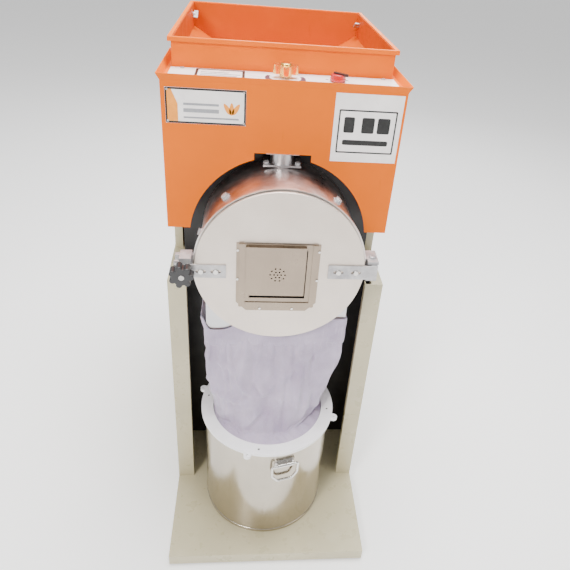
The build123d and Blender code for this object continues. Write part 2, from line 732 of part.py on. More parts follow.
def vent_cover():
    """Sliding plate with an air rose of small holes and a lip at its top edge."""
    y = DOOR_FRONT - 1.8
    with BuildPart() as cover:
        block(VENT_X - 68.5, VENT_X + 68.5, y - 1.8, y, VENT_Z - 70.5, VENT_Z + 66)
        block(VENT_X - 61, VENT_X + 52, y - 3.4, y - 1.8, VENT_Z - 48, VENT_Z + 62)
        block(VENT_X - 61, VENT_X + 52, y - 8, y - 1.8, VENT_Z + 60, VENT_Z + 62)
        # the dark gap beside and under the raised panel
        block(VENT_X + 53, VENT_X + 55, y - 4, y + 1, VENT_Z - 55, VENT_Z + 54, Mode.SUBTRACT)
        block(VENT_X - 54, VENT_X + 55, y - 4, y + 1, VENT_Z - 55, VENT_Z - 50, Mode.SUBTRACT)
        with BuildSketch(front_plane(y + 1, VENT_Z, VENT_X)):
            with PolarLocations(14, 10):
                Circle(1.7)
            with PolarLocations(6.8, 6):
                Circle(1.7)
            Circle(1.7)
        extrude(amount=8, mode=Mode.SUBTRACT)
    save(cover, "vent_cover")


def door_straps():
    """Flat bars across the door: the right one is bent back and rolled round the hinge pin."""
    front = DOOR_FRONT - STRAP_THICK
    half = HINGE_HALF - 0.5
    with BuildPart() as straps:
        block(LATCH_X - 16, -103, front, DOOR_FRONT, STRAP_LEFT_Z - STRAP_HEIGHT / 2,
              STRAP_LEFT_Z + STRAP_HEIGHT / 2)
        block(92, HINGE_X + KNUCKLE_R, front, DOOR_FRONT, AXIS_Z - half, AXIS_Z + half)
        block(HINGE_X - 4, HINGE_X + KNUCKLE_R, front, HINGE_Y, AXIS_Z - half, AXIS_Z + half)
        with BuildSketch(Plane.XY.offset(AXIS_Z - half)):
            with Locations((HINGE_X, HINGE_Y)):
                Circle(KNUCKLE_R)
        extrude(amount=2 * half)
        with BuildSketch(Plane.XY.offset(AXIS_Z - half - 1)):
            with Locations((HINGE_X, HINGE_Y)):
                Circle(STUD_R)
        extrude(amount=2 * half + 2, mode=Mode.SUBTRACT)
        with BuildSketch(front_plane(DOOR_FRONT + 1)):
            with Locations((LATCH_X, LATCH_Z)):
                Circle(STUD_R + RUNNING)
            with Locations(*STRAP_SCREWS):
                SlotOverall(20, 7)
        extrude(amount=STRAP_THICK + 2, mode=Mode.SUBTRACT)
    save(straps, "door_straps")


def door_rivets():
    """Rivets of the vent frame and the screws of the straps."""
    with BuildPart() as rivets:
        with BuildSketch(front_plane(DOOR_FRONT - 1.5, VENT_Z, VENT_X)):
            with Locations((-76.5, 51), (-76.5, -13), (76.5, 51), (76.5, -13), (-32, -81.5),
                           (32, -81.5)):
                Circle(2.4)
        extrude(amount=2)
        with BuildSketch(front_plane(DOOR_FRONT)):
            with Locations(*STRAP_SCREWS):
                Circle(3.2)
        extrude(amount=STRAP_THICK)
        with BuildSketch(front_plane(DOOR_FRONT - STRAP_THICK)):
            with Locations(*STRAP_SCREWS):
                Circle(5.5)
        extrude(amount=3, taper=15)
    save(rivets, "door_rivets")


def latch_washer():
    with BuildPart() as washer:
        with BuildSketch(front_plane(DOOR_FRONT - STRAP_THICK - 0.3, LATCH_Z, LATCH_X)):
            Circle(9)
            Circle(STUD_R + RUNNING, mode=Mode.SUBTRACT)
        extrude(amount=2)
    save(washer, "latch_washer")


def latch_knob():
    """Star knob moulded on a steel stud."""
    with BuildPart() as knob:
        with BuildSketch(front_plane(KNOB_BACK, LATCH_Z, LATCH_X)):
            Circle(12)
        extrude(amount=5)
        with BuildSketch(front_plane(KNOB_BACK - 5, LATCH_Z, LATCH_X)):
            Circle(KNOB_CORE)
            with PolarLocations(KNOB_CORE, 7):
                Circle(KNOB_LOBE)
        extrude(amount=KNOB_THICK)
        fillet(knob.edges().group_by(Axis.Y)[0], 1.6)
        with BuildSketch(front_plane(STUD_TIP, LATCH_Z, LATCH_X)):
            Circle(STUD_R)
        extrude(amount=STUD_TIP - KNOB_BACK + 5)
    save(knob, "latch_knob")


# ---------------------------------------------------------------- rotor
def rotor_hub():
    """Keyed sleeve with five discs that carry the hammer pins."""
    length = (DISC_COUNT - 1) * DISC_PITCH + DISC_THICK
    with BuildPart() as sleeve:
        turned(DISC_FIRST - 4, HUB_R, length + 8)
        turned(DISC_FIRST - 6, SHAFT_R, length + 12, Mode.SUBTRACT)
    pieces = [sleeve]
    for index in range(DISC_COUNT):
        start = DISC_FIRST + index * DISC_PITCH
        with BuildPart() as disc:
            turned(start, DISC_R, DISC_THICK)
            turned(start - 1, HUB_R, DISC_THICK + 2, Mode.SUBTRACT)
            with BuildSketch(axis_plane(start - 1)):
                with GridLocations(2 * PIN_CIRCLE, 2 * PIN_CIRCLE, 2, 2):
                    Circle(PIN_R)
            extrude(amount=-DISC_THICK - 2, mode=Mode.SUBTRACT)
        pieces.append(disc)
    save_solids(pieces, "rotor_hub")


def hammer_pins():
    length = (DISC_COUNT - 1) * DISC_PITCH + DISC_THICK
    with BuildPart() as pins:
        with BuildSketch(axis_plane(DISC_FIRST - 4)):
            with GridLocations(2 * PIN_CIRCLE, 2 * PIN_CIRCLE, 2, 2):
                Circle(PIN_R)
        extrude(amount=-length - 8)
        with BuildSketch(axis_plane(DISC_FIRST)):
            with GridLocations(2 * PIN_CIRCLE, 2 * PIN_CIRCLE, 2, 2):
                Circle(PIN_R + 3)
        extrude(amount=4)
    save(pins, "hammer_pins")


def hammers(number, side_x, side_z):
    """One row of swinging hammers, hanging from its pin."""
    x = side_x * PIN_CIRCLE
    z = side_z * PIN_CIRCLE
    with BuildPart() as row:
        for gap in range(DISC_COUNT - 1):
            y = DISC_FIRST + DISC_THICK + gap * DISC_PITCH + 8
            with BuildSketch(axis_plane(y)):
                with Locations((x, z - 24)):
                    RectangleRounded(32, 76, 5)
                with Locations((x, z)):
                    Circle(PIN_R + RUNNING, mode=Mode.SUBTRACT)
            extrude(amount=-6)
    save(row, f"hammers_{number}")


def rotor_nut():
    with BuildPart() as nut:
        with BuildSketch(axis_plane(DISC_FIRST - 4)):
            RegularPolygon(19, 6)
            Circle(SHAFT_R - 2, mode=Mode.SUBTRACT)
        extrude(amount=8)
    save(nut, "rotor_nut")


# ---------------------------------------------------------------- motor


def motor_frame():
    length = MOTOR_BACK - MOTOR_FRONT
    with BuildPart() as frame:
        turned(MOTOR_FRONT, FRAME_R, length)
        with BuildSketch(axis_plane(MOTOR_FRONT + 8)):
            for start in (22, 116):
                with PolarLocations(FRAME_R + 4, 7, start_angle=start, angular_range=42,
                                    endpoint=True):
                    Rectangle(12, 3)
        extrude(amount=-length + 16)
        for y in (-28, 97):
            block(-84, 84, y - 18, y + 18, SHELF_TOP, SHELF_TOP + 12)
            block(-60, 60, y - 12, y + 12, SHELF_TOP + 12, AXIS_Z - 50)
        with BuildSketch(Plane.XY.offset(SHELF_TOP - 1)):
            with Locations((0, 35)):
                with GridLocations(140, 125, 2, 2):
                    Circle(5)
        extrude(amount=14, mode=Mode.SUBTRACT)
        turned(MOTOR_FRONT - 1, FRAME_R - 5, length + 2, Mode.SUBTRACT)
    save(frame, "motor_frame")


def motor_end_shields():
    with BuildPart() as shields:
        for y, boss in ((MOTOR_FRONT - 14, MOTOR_FRONT - 24), (MOTOR_BACK, MOTOR_BACK)):
            turned(y, FRAME_R + 3, 14)
            turned(boss, 34, 24)
            turned(boss - 1, 23.5, 26, Mode.SUBTRACT)
    save(shields, "motor_end_shields")


def motor_stator():
    with BuildPart() as stator:
        turned(MOTOR_FRONT + 35, FRAME_R - 5, 122)
        turned(MOTOR_FRONT + 34, 45, 124, Mode.SUBTRACT)
    save(stator, "motor_stator")


def motor_bearings():
    with BuildPart() as bearings:
        for y in (MOTOR_FRONT - 21, MOTOR_BACK + 4):
            turned(y, 23.5, 15)
            turned(y - 1, SHAFT_R + RUNNING, 17, Mode.SUBTRACT)
    save(bearings, "motor_bearings")


def motor_shaft():
    start = DISC_FIRST - 14
    with BuildPart() as shaft:
        turned(start, SHAFT_R - 2, 12)
        turned(start + 10, SHAFT_R, MOTOR_BACK + 46 - start)
    save(shaft, "motor_shaft")


def motor_rotor():
    with BuildPart() as core:
        turned(MOTOR_FRONT + 38, 44.4, 116)
        turned(MOTOR_FRONT + 37, SHAFT_R, 118, Mode.SUBTRACT)
    save(core, "motor_rotor")


def cooling_fan():
    y = MOTOR_BACK + 30
    with BuildPart() as fan:
        turned(y, 22, 24)
        turned(y, 66, 3)
        for index in range(7):
            angle = index * 360 / 7
            with BuildSketch(axis_plane(y + 3)):
                with PolarLocations(43, 1, start_angle=angle):
                    Rectangle(44, 3)
            extrude(amount=-18)
        turned(y - 1, SHAFT_R, 30, Mode.SUBTRACT)
    save(fan, "cooling_fan")


def fan_cowl():
    y = MOTOR_BACK + 14
    depth = 52.0
    with BuildPart() as cowl:
        turned(y, FRAME_R + 4.5, depth)
        fillet(cowl.edges().group_by(Axis.Y)[-1], 10)
        offset(amount=-SHEET, openings=cowl.faces().sort_by(Axis.Y)[0])
        with BuildSketch(axis_plane(y + depth - 4)):
            for radius in (22, 34, 46, 58):
                with PolarLocations(radius, int(radius / 2.2)):
                    Circle(3.4)
        extrude(amount=-8, mode=Mode.SUBTRACT)
    save(cowl, "fan_cowl")


def terminal_box():
    low = AXIS_Z + FRAME_R + 10
    with BuildPart() as box:
        block(-36, 36, -8, 72, low, low + 42)
        fillet(box.edges().filter_by(Axis.Z), 5)
        block(-26, 26, 2, 62, AXIS_Z + FRAME_R - 2, low)
        turned(-20, FRAME_R, 110, Mode.SUBTRACT)
    save(box, "terminal_box")


def capacitor():
    """Run capacitor strapped to the motor's side."""
    x = FRAME_R + 32
    with BuildPart() as can:
        with BuildSketch(front_plane(-20, AXIS_Z + 12, x)):
            Circle(21)
        extrude(amount=-100)
        fillet(can.edges().filter_by(GeomType.CIRCLE), 3)
        block(FRAME_R - 6, x, 18, 42, AXIS_Z + 4, AXIS_Z + 20)
        turned(-20, FRAME_R, 110, Mode.SUBTRACT)
    save(can, "capacitor")


# ---------------------------------------------------------------- bag, ring and bin
def filter_bag():
    """The bag as a plain closed solid, with a pocket at its top for the spout."""
    middle = (OUTLET_FRONT + OUTLET_BACK) / 2
    with BuildPart() as bag:
        with BuildSketch(Plane.XY.offset(BAG_SHOULDER)):
            with Locations((0, middle)):
                RectangleRounded(2 * OUTLET_HALF + 8, OUTLET_BACK - OUTLET_FRONT + 8, 6)
        with BuildSketch(Plane.XY.offset(RING_BOTTOM + 1)):
            with Locations((BIN_X, BIN_Y)):
                Circle(BAG_RING_INNER - 3)
        loft()
        with BuildSketch(Plane.XY.offset(BAG_SHOULDER)):
            with Locations((0, middle)):
                RectangleRounded(2 * OUTLET_HALF + 6, OUTLET_BACK - OUTLET_FRONT + 6, 5)
        extrude(amount=BAG_TOP - BAG_SHOULDER)
        block(-OUTLET_HALF - 1, OUTLET_HALF + 1, OUTLET_FRONT - 1, OUTLET_BACK + 1,
              OUTLET_BOTTOM - 2, BAG_TOP + 1, Mode.SUBTRACT)
        turned(DRUM_FRONT, DRUM_RADIUS + 1, DRUM_BACK - DRUM_FRONT, Mode.SUBTRACT)
        turned(DRUM_FRONT - 2, RING_RADIUS + 1, RING_THICK + 3, Mode.SUBTRACT)
    save(bag, "filter_bag")


def bag_ring():
    """Flat clamp ring over the bin's mouth, with four small lugs."""
    with BuildPart() as ring:
        with BuildSketch(Plane.XY.offset(RING_BOTTOM)):
            with Locations((BIN_X, BIN_Y)):
                Circle(BAG_RING_OUTER)
                with PolarLocations(BAG_RING_OUTER + 1, 4, start_angle=-17):
                    SlotOverall(24, 16)
                Circle(BAG_RING_INNER, mode=Mode.SUBTRACT)
        extrude(amount=BAG_RING_THICK)
        with BuildSketch(Plane.XY.offset(RING_BOTTOM - 1)):
            with Locations((BIN_X, BIN_Y)):
                with PolarLocations(BAG_RING_OUTER + 6, 4, start_angle=-17):
                    Circle(2.2)
        extrude(amount=BAG_RING_THICK + 2, mode=Mode.SUBTRACT)
        with BuildSketch(Plane.XY.offset(RING_BOTTOM + BAG_RING_THICK - 2.5)):
            with Locations((BIN_X, BIN_Y)):
                with PolarLocations((BAG_RING_OUTER + BAG_RING_INNER) / 2, 4, start_angle=-9):
                    Circle(2.6)
        extrude(amount=4, mode=Mode.SUBTRACT)
    save(ring, "bag_ring")


def bin_shell():
    """Stainless bin with a rolled rim, a foot bead and a side seam."""
    low = TRAY_TOP + 0.3
    with BuildPart() as shell:
        with BuildSketch(Plane(origin=(BIN_X, BIN_Y, 0), x_dir=(1, 0, 0), z_dir=(0, -1, 0))):
            with BuildLine():
                Polyline((0, low), (BIN_RADIUS, low), (BIN_RADIUS, BIN_TOP),
                         (BIN_RADIUS - BIN_WALL, BIN_TOP), (BIN_RADIUS - BIN_WALL, low + 9),
                         (0, low + 9), close=True)
            make_face()
            with Locations((BIN_RADIUS + 0.5, BIN_TOP - 3)):
                Circle(3)
            with Locations((BIN_RADIUS - 0.6, low + 8)):
                Circle(1.8)
        revolve(axis=Axis((BIN_X, BIN_Y, 0), (0, 0, 1)))
        block(BIN_X - 5, BIN_X + 3, BIN_Y - BIN_RADIUS - 0.7, BIN_Y - BIN_RADIUS + 0.6,
              low + 12, BIN_TOP - 8)
    save(shell, "bin_shell")


def bin_wall_plane(angle):
    """Plane tangent to the bin at an angle round from the front, facing outwards."""
    a = radians(angle)
    return Plane(origin=(BIN_X + BIN_RADIUS * sin(a), BIN_Y - BIN_RADIUS * cos(a), HANDLE_Z),
                 x_dir=(cos(a), sin(a), 0), z_dir=(sin(a), -cos(a), 0))




def handle_brackets():
    with BuildPart() as brackets:
        for angle in (HANDLE_ANGLE, HANDLE_ANGLE + 180):
            wall = bin_wall_plane(angle)
            with BuildSketch(wall.offset(-2.4)):
                with Locations((0, -2)):
                    RectangleRounded(44, 26, 4)
            extrude(amount=4.4)
            side = Plane(origin=wall.offset(HANDLE_OFF).origin - wall.x_dir * 17,
                         x_dir=wall.z_dir, z_dir=wall.x_dir)
            with BuildSketch(side):
                Circle(HANDLE_WIRE + 1.6)
                with Locations((-HANDLE_OFF / 2 + 0.5, 0)):
                    Rectangle(HANDLE_OFF - 1, 2 * HANDLE_WIRE + 3.2)
                Circle(HANDLE_WIRE + RUNNING, mode=Mode.SUBTRACT)
            extrude(amount=34)
        with BuildSketch(Plane.XY.offset(HANDLE_Z - 30)):
            with Locations((BIN_X, BIN_Y)):
                Circle(BIN_RADIUS)
        extrude(amount=60, mode=Mode.SUBTRACT)
    save(brackets, "handle_brackets")


def bin_handle(angle, name):
    """Drop handle: a closed loop of wire that hangs from its bracket."""
    wall = bin_wall_plane(angle).offset(HANDLE_OFF)
    with BuildPart() as handle:
        with BuildLine(wall) as path:
            FilletPolyline((29, 0), (29, -30), (17, -47), (-17, -47), (-29, -30), (-29, 0),
                           radius=6, close=True)
        start = path.edges().sort_by(Axis.Z)[-1]
        with BuildSketch(Plane(origin=start @ 0, z_dir=start % 0)):
            Circle(HANDLE_WIRE)
        sweep(path=path.line)
    save(handle, name)


base_tray()
rubber_feet()
column(-1, "column_left")
column(1, "column_right")
side_panels()
partition()
motor_shelf()
back_panel()
cable_gland()
hood_shell()
control_panel()
label_plates()
cover_screws()
feed_knob()
feed_gate()
switch_knob()
switch_body()
hopper_tray()
hopper_funnel()
feed_throat()
hopper_bolts()
drum_shell()
drum_front_ring()
drum_bolts()
grinding_liner()
flour_screen()
outlet_chute()
door_lugs()
hinge_pin()
door_disc()
door_gasket()
vent_frame()
vent_cover()
door_straps()
door_rivets()
latch_washer()
latch_knob()
rotor_hub()
hammer_pins()
for number, (side_x, side_z) in enumerate(((-1, 1), (1, 1), (1, -1), (-1, -1)), start=1):
    hammers(number, side_x, side_z)
rotor_nut()
motor_frame()
motor_end_shields()
motor_stator()
motor_bearings()
motor_shaft()
motor_rotor()
cooling_fan()
fan_cowl()
terminal_box()
capacitor()
filter_bag()
bag_ring()
bin_shell()
handle_brackets()
bin_handle(HANDLE_ANGLE, "bin_handle_front")
bin_handle(HANDLE_ANGLE + 180, "bin_handle_rear")
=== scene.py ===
"""Looks of the hammer mill: materials, cloth bag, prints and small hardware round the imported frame."""
import math

import bmesh
import bpy
import numpy as np
from mathutils import Matrix, Vector


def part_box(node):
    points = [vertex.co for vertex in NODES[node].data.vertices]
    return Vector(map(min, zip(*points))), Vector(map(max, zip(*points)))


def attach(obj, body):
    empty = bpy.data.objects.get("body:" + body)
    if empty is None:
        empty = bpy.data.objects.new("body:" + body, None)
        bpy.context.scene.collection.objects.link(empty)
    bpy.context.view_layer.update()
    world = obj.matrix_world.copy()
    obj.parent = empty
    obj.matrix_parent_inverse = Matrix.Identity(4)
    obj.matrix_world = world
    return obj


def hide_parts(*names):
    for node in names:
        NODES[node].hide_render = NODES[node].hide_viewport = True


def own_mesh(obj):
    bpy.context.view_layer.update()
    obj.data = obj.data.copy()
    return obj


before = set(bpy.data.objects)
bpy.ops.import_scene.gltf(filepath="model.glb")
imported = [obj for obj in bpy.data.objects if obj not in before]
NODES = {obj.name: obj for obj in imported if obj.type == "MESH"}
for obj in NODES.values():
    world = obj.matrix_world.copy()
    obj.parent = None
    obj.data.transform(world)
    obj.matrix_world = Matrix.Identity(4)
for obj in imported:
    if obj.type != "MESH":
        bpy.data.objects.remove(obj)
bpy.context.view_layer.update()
SCENE = bpy.context.scene

MM = 0.001


# ---------------------------------------------------------------- camera, floor and light
CAMERA_AT = (-0.0675, -1.1787, 1.3015)
CAMERA_YAW = 7.1
CAMERA_PITCH = 31.8
CAMERA_ROLL = 5.1
FOCAL_IN_WIDTHS = 564.4 / 570
SHIFT = (-0.0344, -0.0381)
FLOOR_REACH = 25


def make_camera():
    yaw, pitch, roll = (math.radians(a) for a in (CAMERA_YAW, CAMERA_PITCH, CAMERA_ROLL))
    ahead = Vector((math.sin(yaw) * math.cos(pitch), math.cos(yaw) * math.cos(pitch),
                    -math.sin(pitch)))
    level = Vector((math.cos(yaw), -math.sin(yaw), 0))
    upright = level.cross(ahead)
    right = level * math.cos(roll) + upright * math.sin(roll)
    up = upright * math.cos(roll) - level * math.sin(roll)
    data = bpy.data.cameras.new("camera")
    data.sensor_width = 36
    data.lens = FOCAL_IN_WIDTHS * data.sensor_width
    data.shift_x, data.shift_y = SHIFT
    camera = bpy.data.objects.new("camera", data)
    SCENE.collection.objects.link(camera)
    turn = Matrix((right, up, -ahead)).transposed()
    camera.matrix_world = Matrix.Translation(CAMERA_AT) @ turn.to_4x4()
    SCENE.camera = camera


def area_light(name, place, aim, size, power, tint):
    data = bpy.data.lights.new(name, "AREA")
    data.shape = "RECTANGLE"
    data.size, data.size_y = size
    data.energy = power
    data.color = tint
    lamp = bpy.data.objects.new(name, data)
    lamp.location = place
    lamp.rotation_euler = (Vector(aim) - Vector(place)).to_track_quat("-Z", "Y").to_euler()
    SCENE.collection.objects.link(lamp)


def make_stage():
    world = bpy.data.worlds.new("studio")
    world.use_nodes = True
    tree = world.node_tree
    background = tree.nodes["Background"]
    background.inputs["Strength"].default_value = 0.62
    # soft light and dark patches round the mill, like a room, for the metal to mirror
    room = tree.nodes.new("ShaderNodeTexNoise")
    room.inputs["Scale"].default_value = 2.2
    room.inputs["Detail"].default_value = 2.0
    tree.links.new(tree.nodes.new("ShaderNodeTexCoord").outputs["Generated"],
                   room.inputs["Vector"])
    tones = tree.nodes.new("ShaderNodeMapRange")
    tones.inputs["From Min"].default_value = 0.40
    tones.inputs["From Max"].default_value = 0.60
    tones.inputs["To Min"].default_value = 0.5
    tones.inputs["To Max"].default_value = 1.25
    tree.links.new(room.outputs["Fac"], tones.inputs["Value"])
    tree.links.new(tones.outputs["Result"], background.inputs["Color"])
    SCENE.world = world
    area_light("key", (-1.6, -2.6, 2.9), (0, -0.1, 0.6), (0.9, 0.9), 120, (1.0, 0.97, 0.93))
    area_light("fill", (2.4, -2.0, 1.7), (0, -0.1, 0.6), (1.4, 2.0), 22, (1.0, 0.97, 0.93))
    area_light("top", (0.2, 0.2, 3.2), (0, 0, 0.8), (1.6, 1.6), 190, (1, 1, 1))
    area_light("back", (0.5, 2.6, 1.8), (0, 0.2, 0.6), (1.6, 1.2), 26, (1, 1, 1))
    floor = bpy.data.meshes.new("floor")
    reach = FLOOR_REACH
    floor.from_pydata([(-reach, -reach, 0), (reach, -reach, 0), (reach, reach, 0),
                       (-reach, reach, 0)], [], [(0, 1, 2, 3)])
    ground = bpy.data.objects.new("floor", floor)
    SCENE.collection.objects.link(ground)
    paint = bpy.data.materials.new("floor_paint")
    paint.use_nodes = True
    shader = paint.node_tree.nodes["Principled BSDF"]
    shader.inputs["Base Color"].default_value = (0.90, 0.90, 0.90, 1)
    shader.inputs["Roughness"].default_value = 0.85
    shader.inputs["Emission Color"].default_value = (1, 1, 1, 1)
    shader.inputs["Emission Strength"].default_value = 0.32
    floor.materials.append(paint)


# ---------------------------------------------------------------- material kit
class Paintbox:
    """A material with its Principled shader and short calls for the nodes that feed it."""

    def __init__(self, name, color, roughness, metallic=0.0):
        self.material = bpy.data.materials.new(name)
        self.material.use_nodes = True
        self.tree = self.material.node_tree
        self.shader = self.tree.nodes["Principled BSDF"]
        self.shader.inputs["Base Color"].default_value = (*color, 1)
        self.shader.inputs["Roughness"].default_value = roughness
        self.shader.inputs["Metallic"].default_value = metallic
        self.place = self.tree.nodes.new("ShaderNodeTexCoord").outputs["Object"]
        self.bumped = None

    def link(self, source, node, socket):
        self.tree.links.new(source, node.inputs[socket])

    def stretched(self, scale):
        """Object coordinates multiplied by scale, one factor an axis."""
        node = self.tree.nodes.new("ShaderNodeMapping")
        node.inputs["Scale"].default_value = scale
        self.link(self.place, node, "Vector")
        return node.outputs["Vector"]

    def noise(self, scale, detail=3.0, rough=0.5, at=None):
        node = self.tree.nodes.new("ShaderNodeTexNoise")
        node.inputs["Scale"].default_value = scale
        node.inputs["Detail"].default_value = detail
        node.inputs["Roughness"].default_value = rough
        self.link(at or self.place, node, "Vector")
        return node.outputs["Fac"]

    def voronoi(self, scale):
        node = self.tree.nodes.new("ShaderNodeTexVoronoi")
        node.inputs["Scale"].default_value = scale
        self.link(self.place, node, "Vector")
        return node.outputs["Distance"]

    def wave(self, scale, direction, distortion=0.0):
        node = self.tree.nodes.new("ShaderNodeTexWave")
        node.bands_direction = direction
        node.inputs["Scale"].default_value = scale
        node.inputs["Distortion"].default_value = distortion
        self.link(self.place, node, "Vector")
        return node.outputs["Fac"]

    def span(self, value, low, high, to_low=0.0, to_high=1.0):
        """Maps low..high of a value to to_low..to_high, and clamps it there."""
        node = self.tree.nodes.new("ShaderNodeMapRange")
        node.inputs["From Min"].default_value = low
        node.inputs["From Max"].default_value = high
        node.inputs["To Min"].default_value = to_low
        node.inputs["To Max"].default_value = to_high
        self.link(value, node, "Value")
        return node.outputs["Result"]

    def math(self, kind, first, second):
        node = self.tree.nodes.new("ShaderNodeMath")
        node.operation = kind
        for index, value in enumerate((first, second)):
            if isinstance(value, (int, float)):
                node.inputs[index].default_value = value
            else:
                self.tree.links.new(value, node.inputs[index])
        return node.outputs[0]

    def mix(self, share, first, second):
        """Colour between first and second. Each is a tuple or a colour output."""
        node = self.tree.nodes.new("ShaderNodeMix")
        node.data_type = "RGBA"
        self.tree.links.new(share, node.inputs[0])
        for socket, value in ((6, first), (7, second)):
            if isinstance(value, tuple):
                node.inputs[socket].default_value = (*value, 1)
            else:
                self.tree.links.new(value, node.inputs[socket])
        return node.outputs[2]

    def color(self, output):
        self.link(output, self.shader, "Base Color")

    def roughness(self, output):
        self.link(output, self.shader, "Roughness")

    def bump(self, height, strength, distance):
        node = self.tree.nodes.new("ShaderNodeBump")
        node.inputs["Strength"].default_value = strength
        node.inputs["Distance"].default_value = distance
        self.link(height, node, "Height")
        if self.bumped is not None:
            self.link(self.bumped, node, "Normal")
        self.bumped = node.outputs["Normal"]
        self.link(self.bumped, self.shader, "Normal")

    def set(self, **sockets):
        for name, value in sockets.items():
            self.shader.inputs[name.replace("_", " ")].default_value = value


def shade(color, factor):
    return tuple(channel * factor for channel in color)


def powder_coat(name, color, roughness, dust, dust_share, shine=0.5):
    """Powder-coated sheet: orange peel, faint blotches, a thin film of flour dust and scuffs."""
    box = Paintbox(name, color, roughness)
    blotch = box.span(box.noise(4.5, 4, 0.6), 0.35, 0.68)
    base = box.mix(blotch, shade(color, 0.93), shade(color, 1.04))
    film = box.span(box.noise(14, 6, 0.7), 0.52, 0.80, 0.0, dust_share)
    dusty = box.mix(film, base, dust)
    scuffs = box.noise(1.0, 5, 0.6, box.stretched((60, 60, 9)))
    box.color(box.mix(box.span(scuffs, 0.66, 0.74, 0, 0.35), dusty, shade(color, 0.7)))
    box.roughness(box.span(box.noise(30, 4, 0.6), 0.3, 0.7, roughness - 0.07, roughness + 0.12))
    box.bump(box.noise(420, 2, 0.5), 0.10, 0.0004)
    box.bump(box.noise(7, 3, 0.5), 0.12, 0.0030)
    box.set(Coat_Weight=0.3 * shine, Coat_Roughness=0.22, Specular_IOR_Level=shine)
    return box.material


def sheet_steel(name, color, roughness, streaks, tint=None, smudge_and_reflection=0.25):
    """Stainless sheet: fine brushing along the long axis of streaks, smudges and slow waves. On the drum
    the smudge mask, with a dark tint at a high share, is painted reflection of dark surroundings.
    """
    box = Paintbox(name, color, roughness, 1.0)
    grain = box.noise(1.0, 4, 0.6, box.stretched(streaks))
    # smudge mask: real smudges on most sheets; on the drum it carries the painted dark reflection
    stain_and_reflection = box.span(box.noise(9, 6, 0.65), 0.42, 0.75)
    base = box.mix(grain, shade(color, 0.90), shade(color, 1.07))
    box.color(box.mix(box.math("MULTIPLY", stain_and_reflection, smudge_and_reflection), base, tint or shade(color, 0.72)))
    patches = box.span(box.noise(16, 5, 0.6), 0.3, 0.75, roughness - 0.05, roughness + 0.13)
    box.roughness(box.math("ADD", patches, box.span(grain, 0.3, 0.7, -0.03, 0.05)))
    box.bump(grain, 0.07, 0.0003)
    box.bump(box.noise(5, 2, 0.5), 0.10, 0.004)
    return box.material


def machined(name, color, roughness, wear=(0.30, 0.27, 0.24)):
    box = Paintbox(name, color, roughness, 1.0)
    rings = box.noise(1.0, 3, 0.6, box.stretched((90, 700, 90)))
    rust = box.span(box.noise(40, 6, 0.7), 0.60, 0.78, 0.0, 0.4)
    box.color(box.mix(rust, box.mix(rings, shade(color, 0.88), shade(color, 1.06)), wear))
    box.roughness(box.span(box.noise(55, 4, 0.6), 0.3, 0.7, roughness - 0.06, roughness + 0.12))
    box.bump(rings, 0.08, 0.0003)
    return box.material


def zinc_plate(name):
    """Zinc plating with its faint spangle and a lavender cast."""
    color = (0.46, 0.45, 0.47)
    box = Paintbox(name, color, 0.36, 0.55)
    spangle = box.voronoi(150)
    clouds = box.noise(35, 4, 0.6)
    box.color(box.mix(box.span(clouds, 0.35, 0.65), shade(color, 0.8), (0.58, 0.57, 0.57)))
    box.roughness(box.span(spangle, 0.0, 0.8, 0.34, 0.5))
    box.bump(box.noise(300, 3, 0.5), 0.06, 0.0003)
    return box.material


def plastic(name, color, roughness, grain=900.0, depth=0.0002, coat=0.0):
    box = Paintbox(name, color, roughness)
    box.color(box.mix(box.span(box.noise(20, 4, 0.6), 0.35, 0.7), shade(color, 0.92),
                      tuple(c * 1.05 + 0.004 for c in color)))
    box.roughness(box.span(box.noise(45, 4, 0.6), 0.3, 0.7, roughness - 0.05, roughness + 0.10))
    box.bump(box.noise(grain, 2, 0.5), 0.12, depth)
    box.set(Coat_Weight=coat, Coat_Roughness=0.15)
    return box.material


def cast_metal(name, color, roughness, metallic):
    box = Paintbox(name, color, roughness, metallic)
    pits = box.noise(320, 5, 0.7)
    box.color(box.mix(box.span(box.noise(24, 5, 0.6), 0.35, 0.7), shade(color, 0.8),
                      shade(color, 1.1)))
    box.roughness(box.span(pits, 0.3, 0.7, roughness - 0.08, roughness + 0.12))
    box.bump(pits, 0.30, 0.0008)
    return box.material


def perforated_steel(name, color):
    """Screen plate: steel with a dense pattern of fine dimples between the larger holes; each dimple is
    painted near black as painted shade.
    """
    box = Paintbox(name, color, 0.34, 1.0)
    dots = box.voronoi(260)
    # near-black dots in the dimples: painted shade
    box.color(box.mix(box.span(dots, 0.12, 0.22), (0.03, 0.03, 0.03), color))
    box.bump(box.span(dots, 0.12, 0.26), 0.5, 0.0006)
    return box.material


def laminated(name, color):
    box = Paintbox(name, color, 0.5, 0.6)
    layers = box.wave(190, "Y")
    box.color(box.mix(layers, shade(color, 0.6), shade(color, 1.2)))
    box.bump(layers, 0.3, 0.0004)
    return box.material


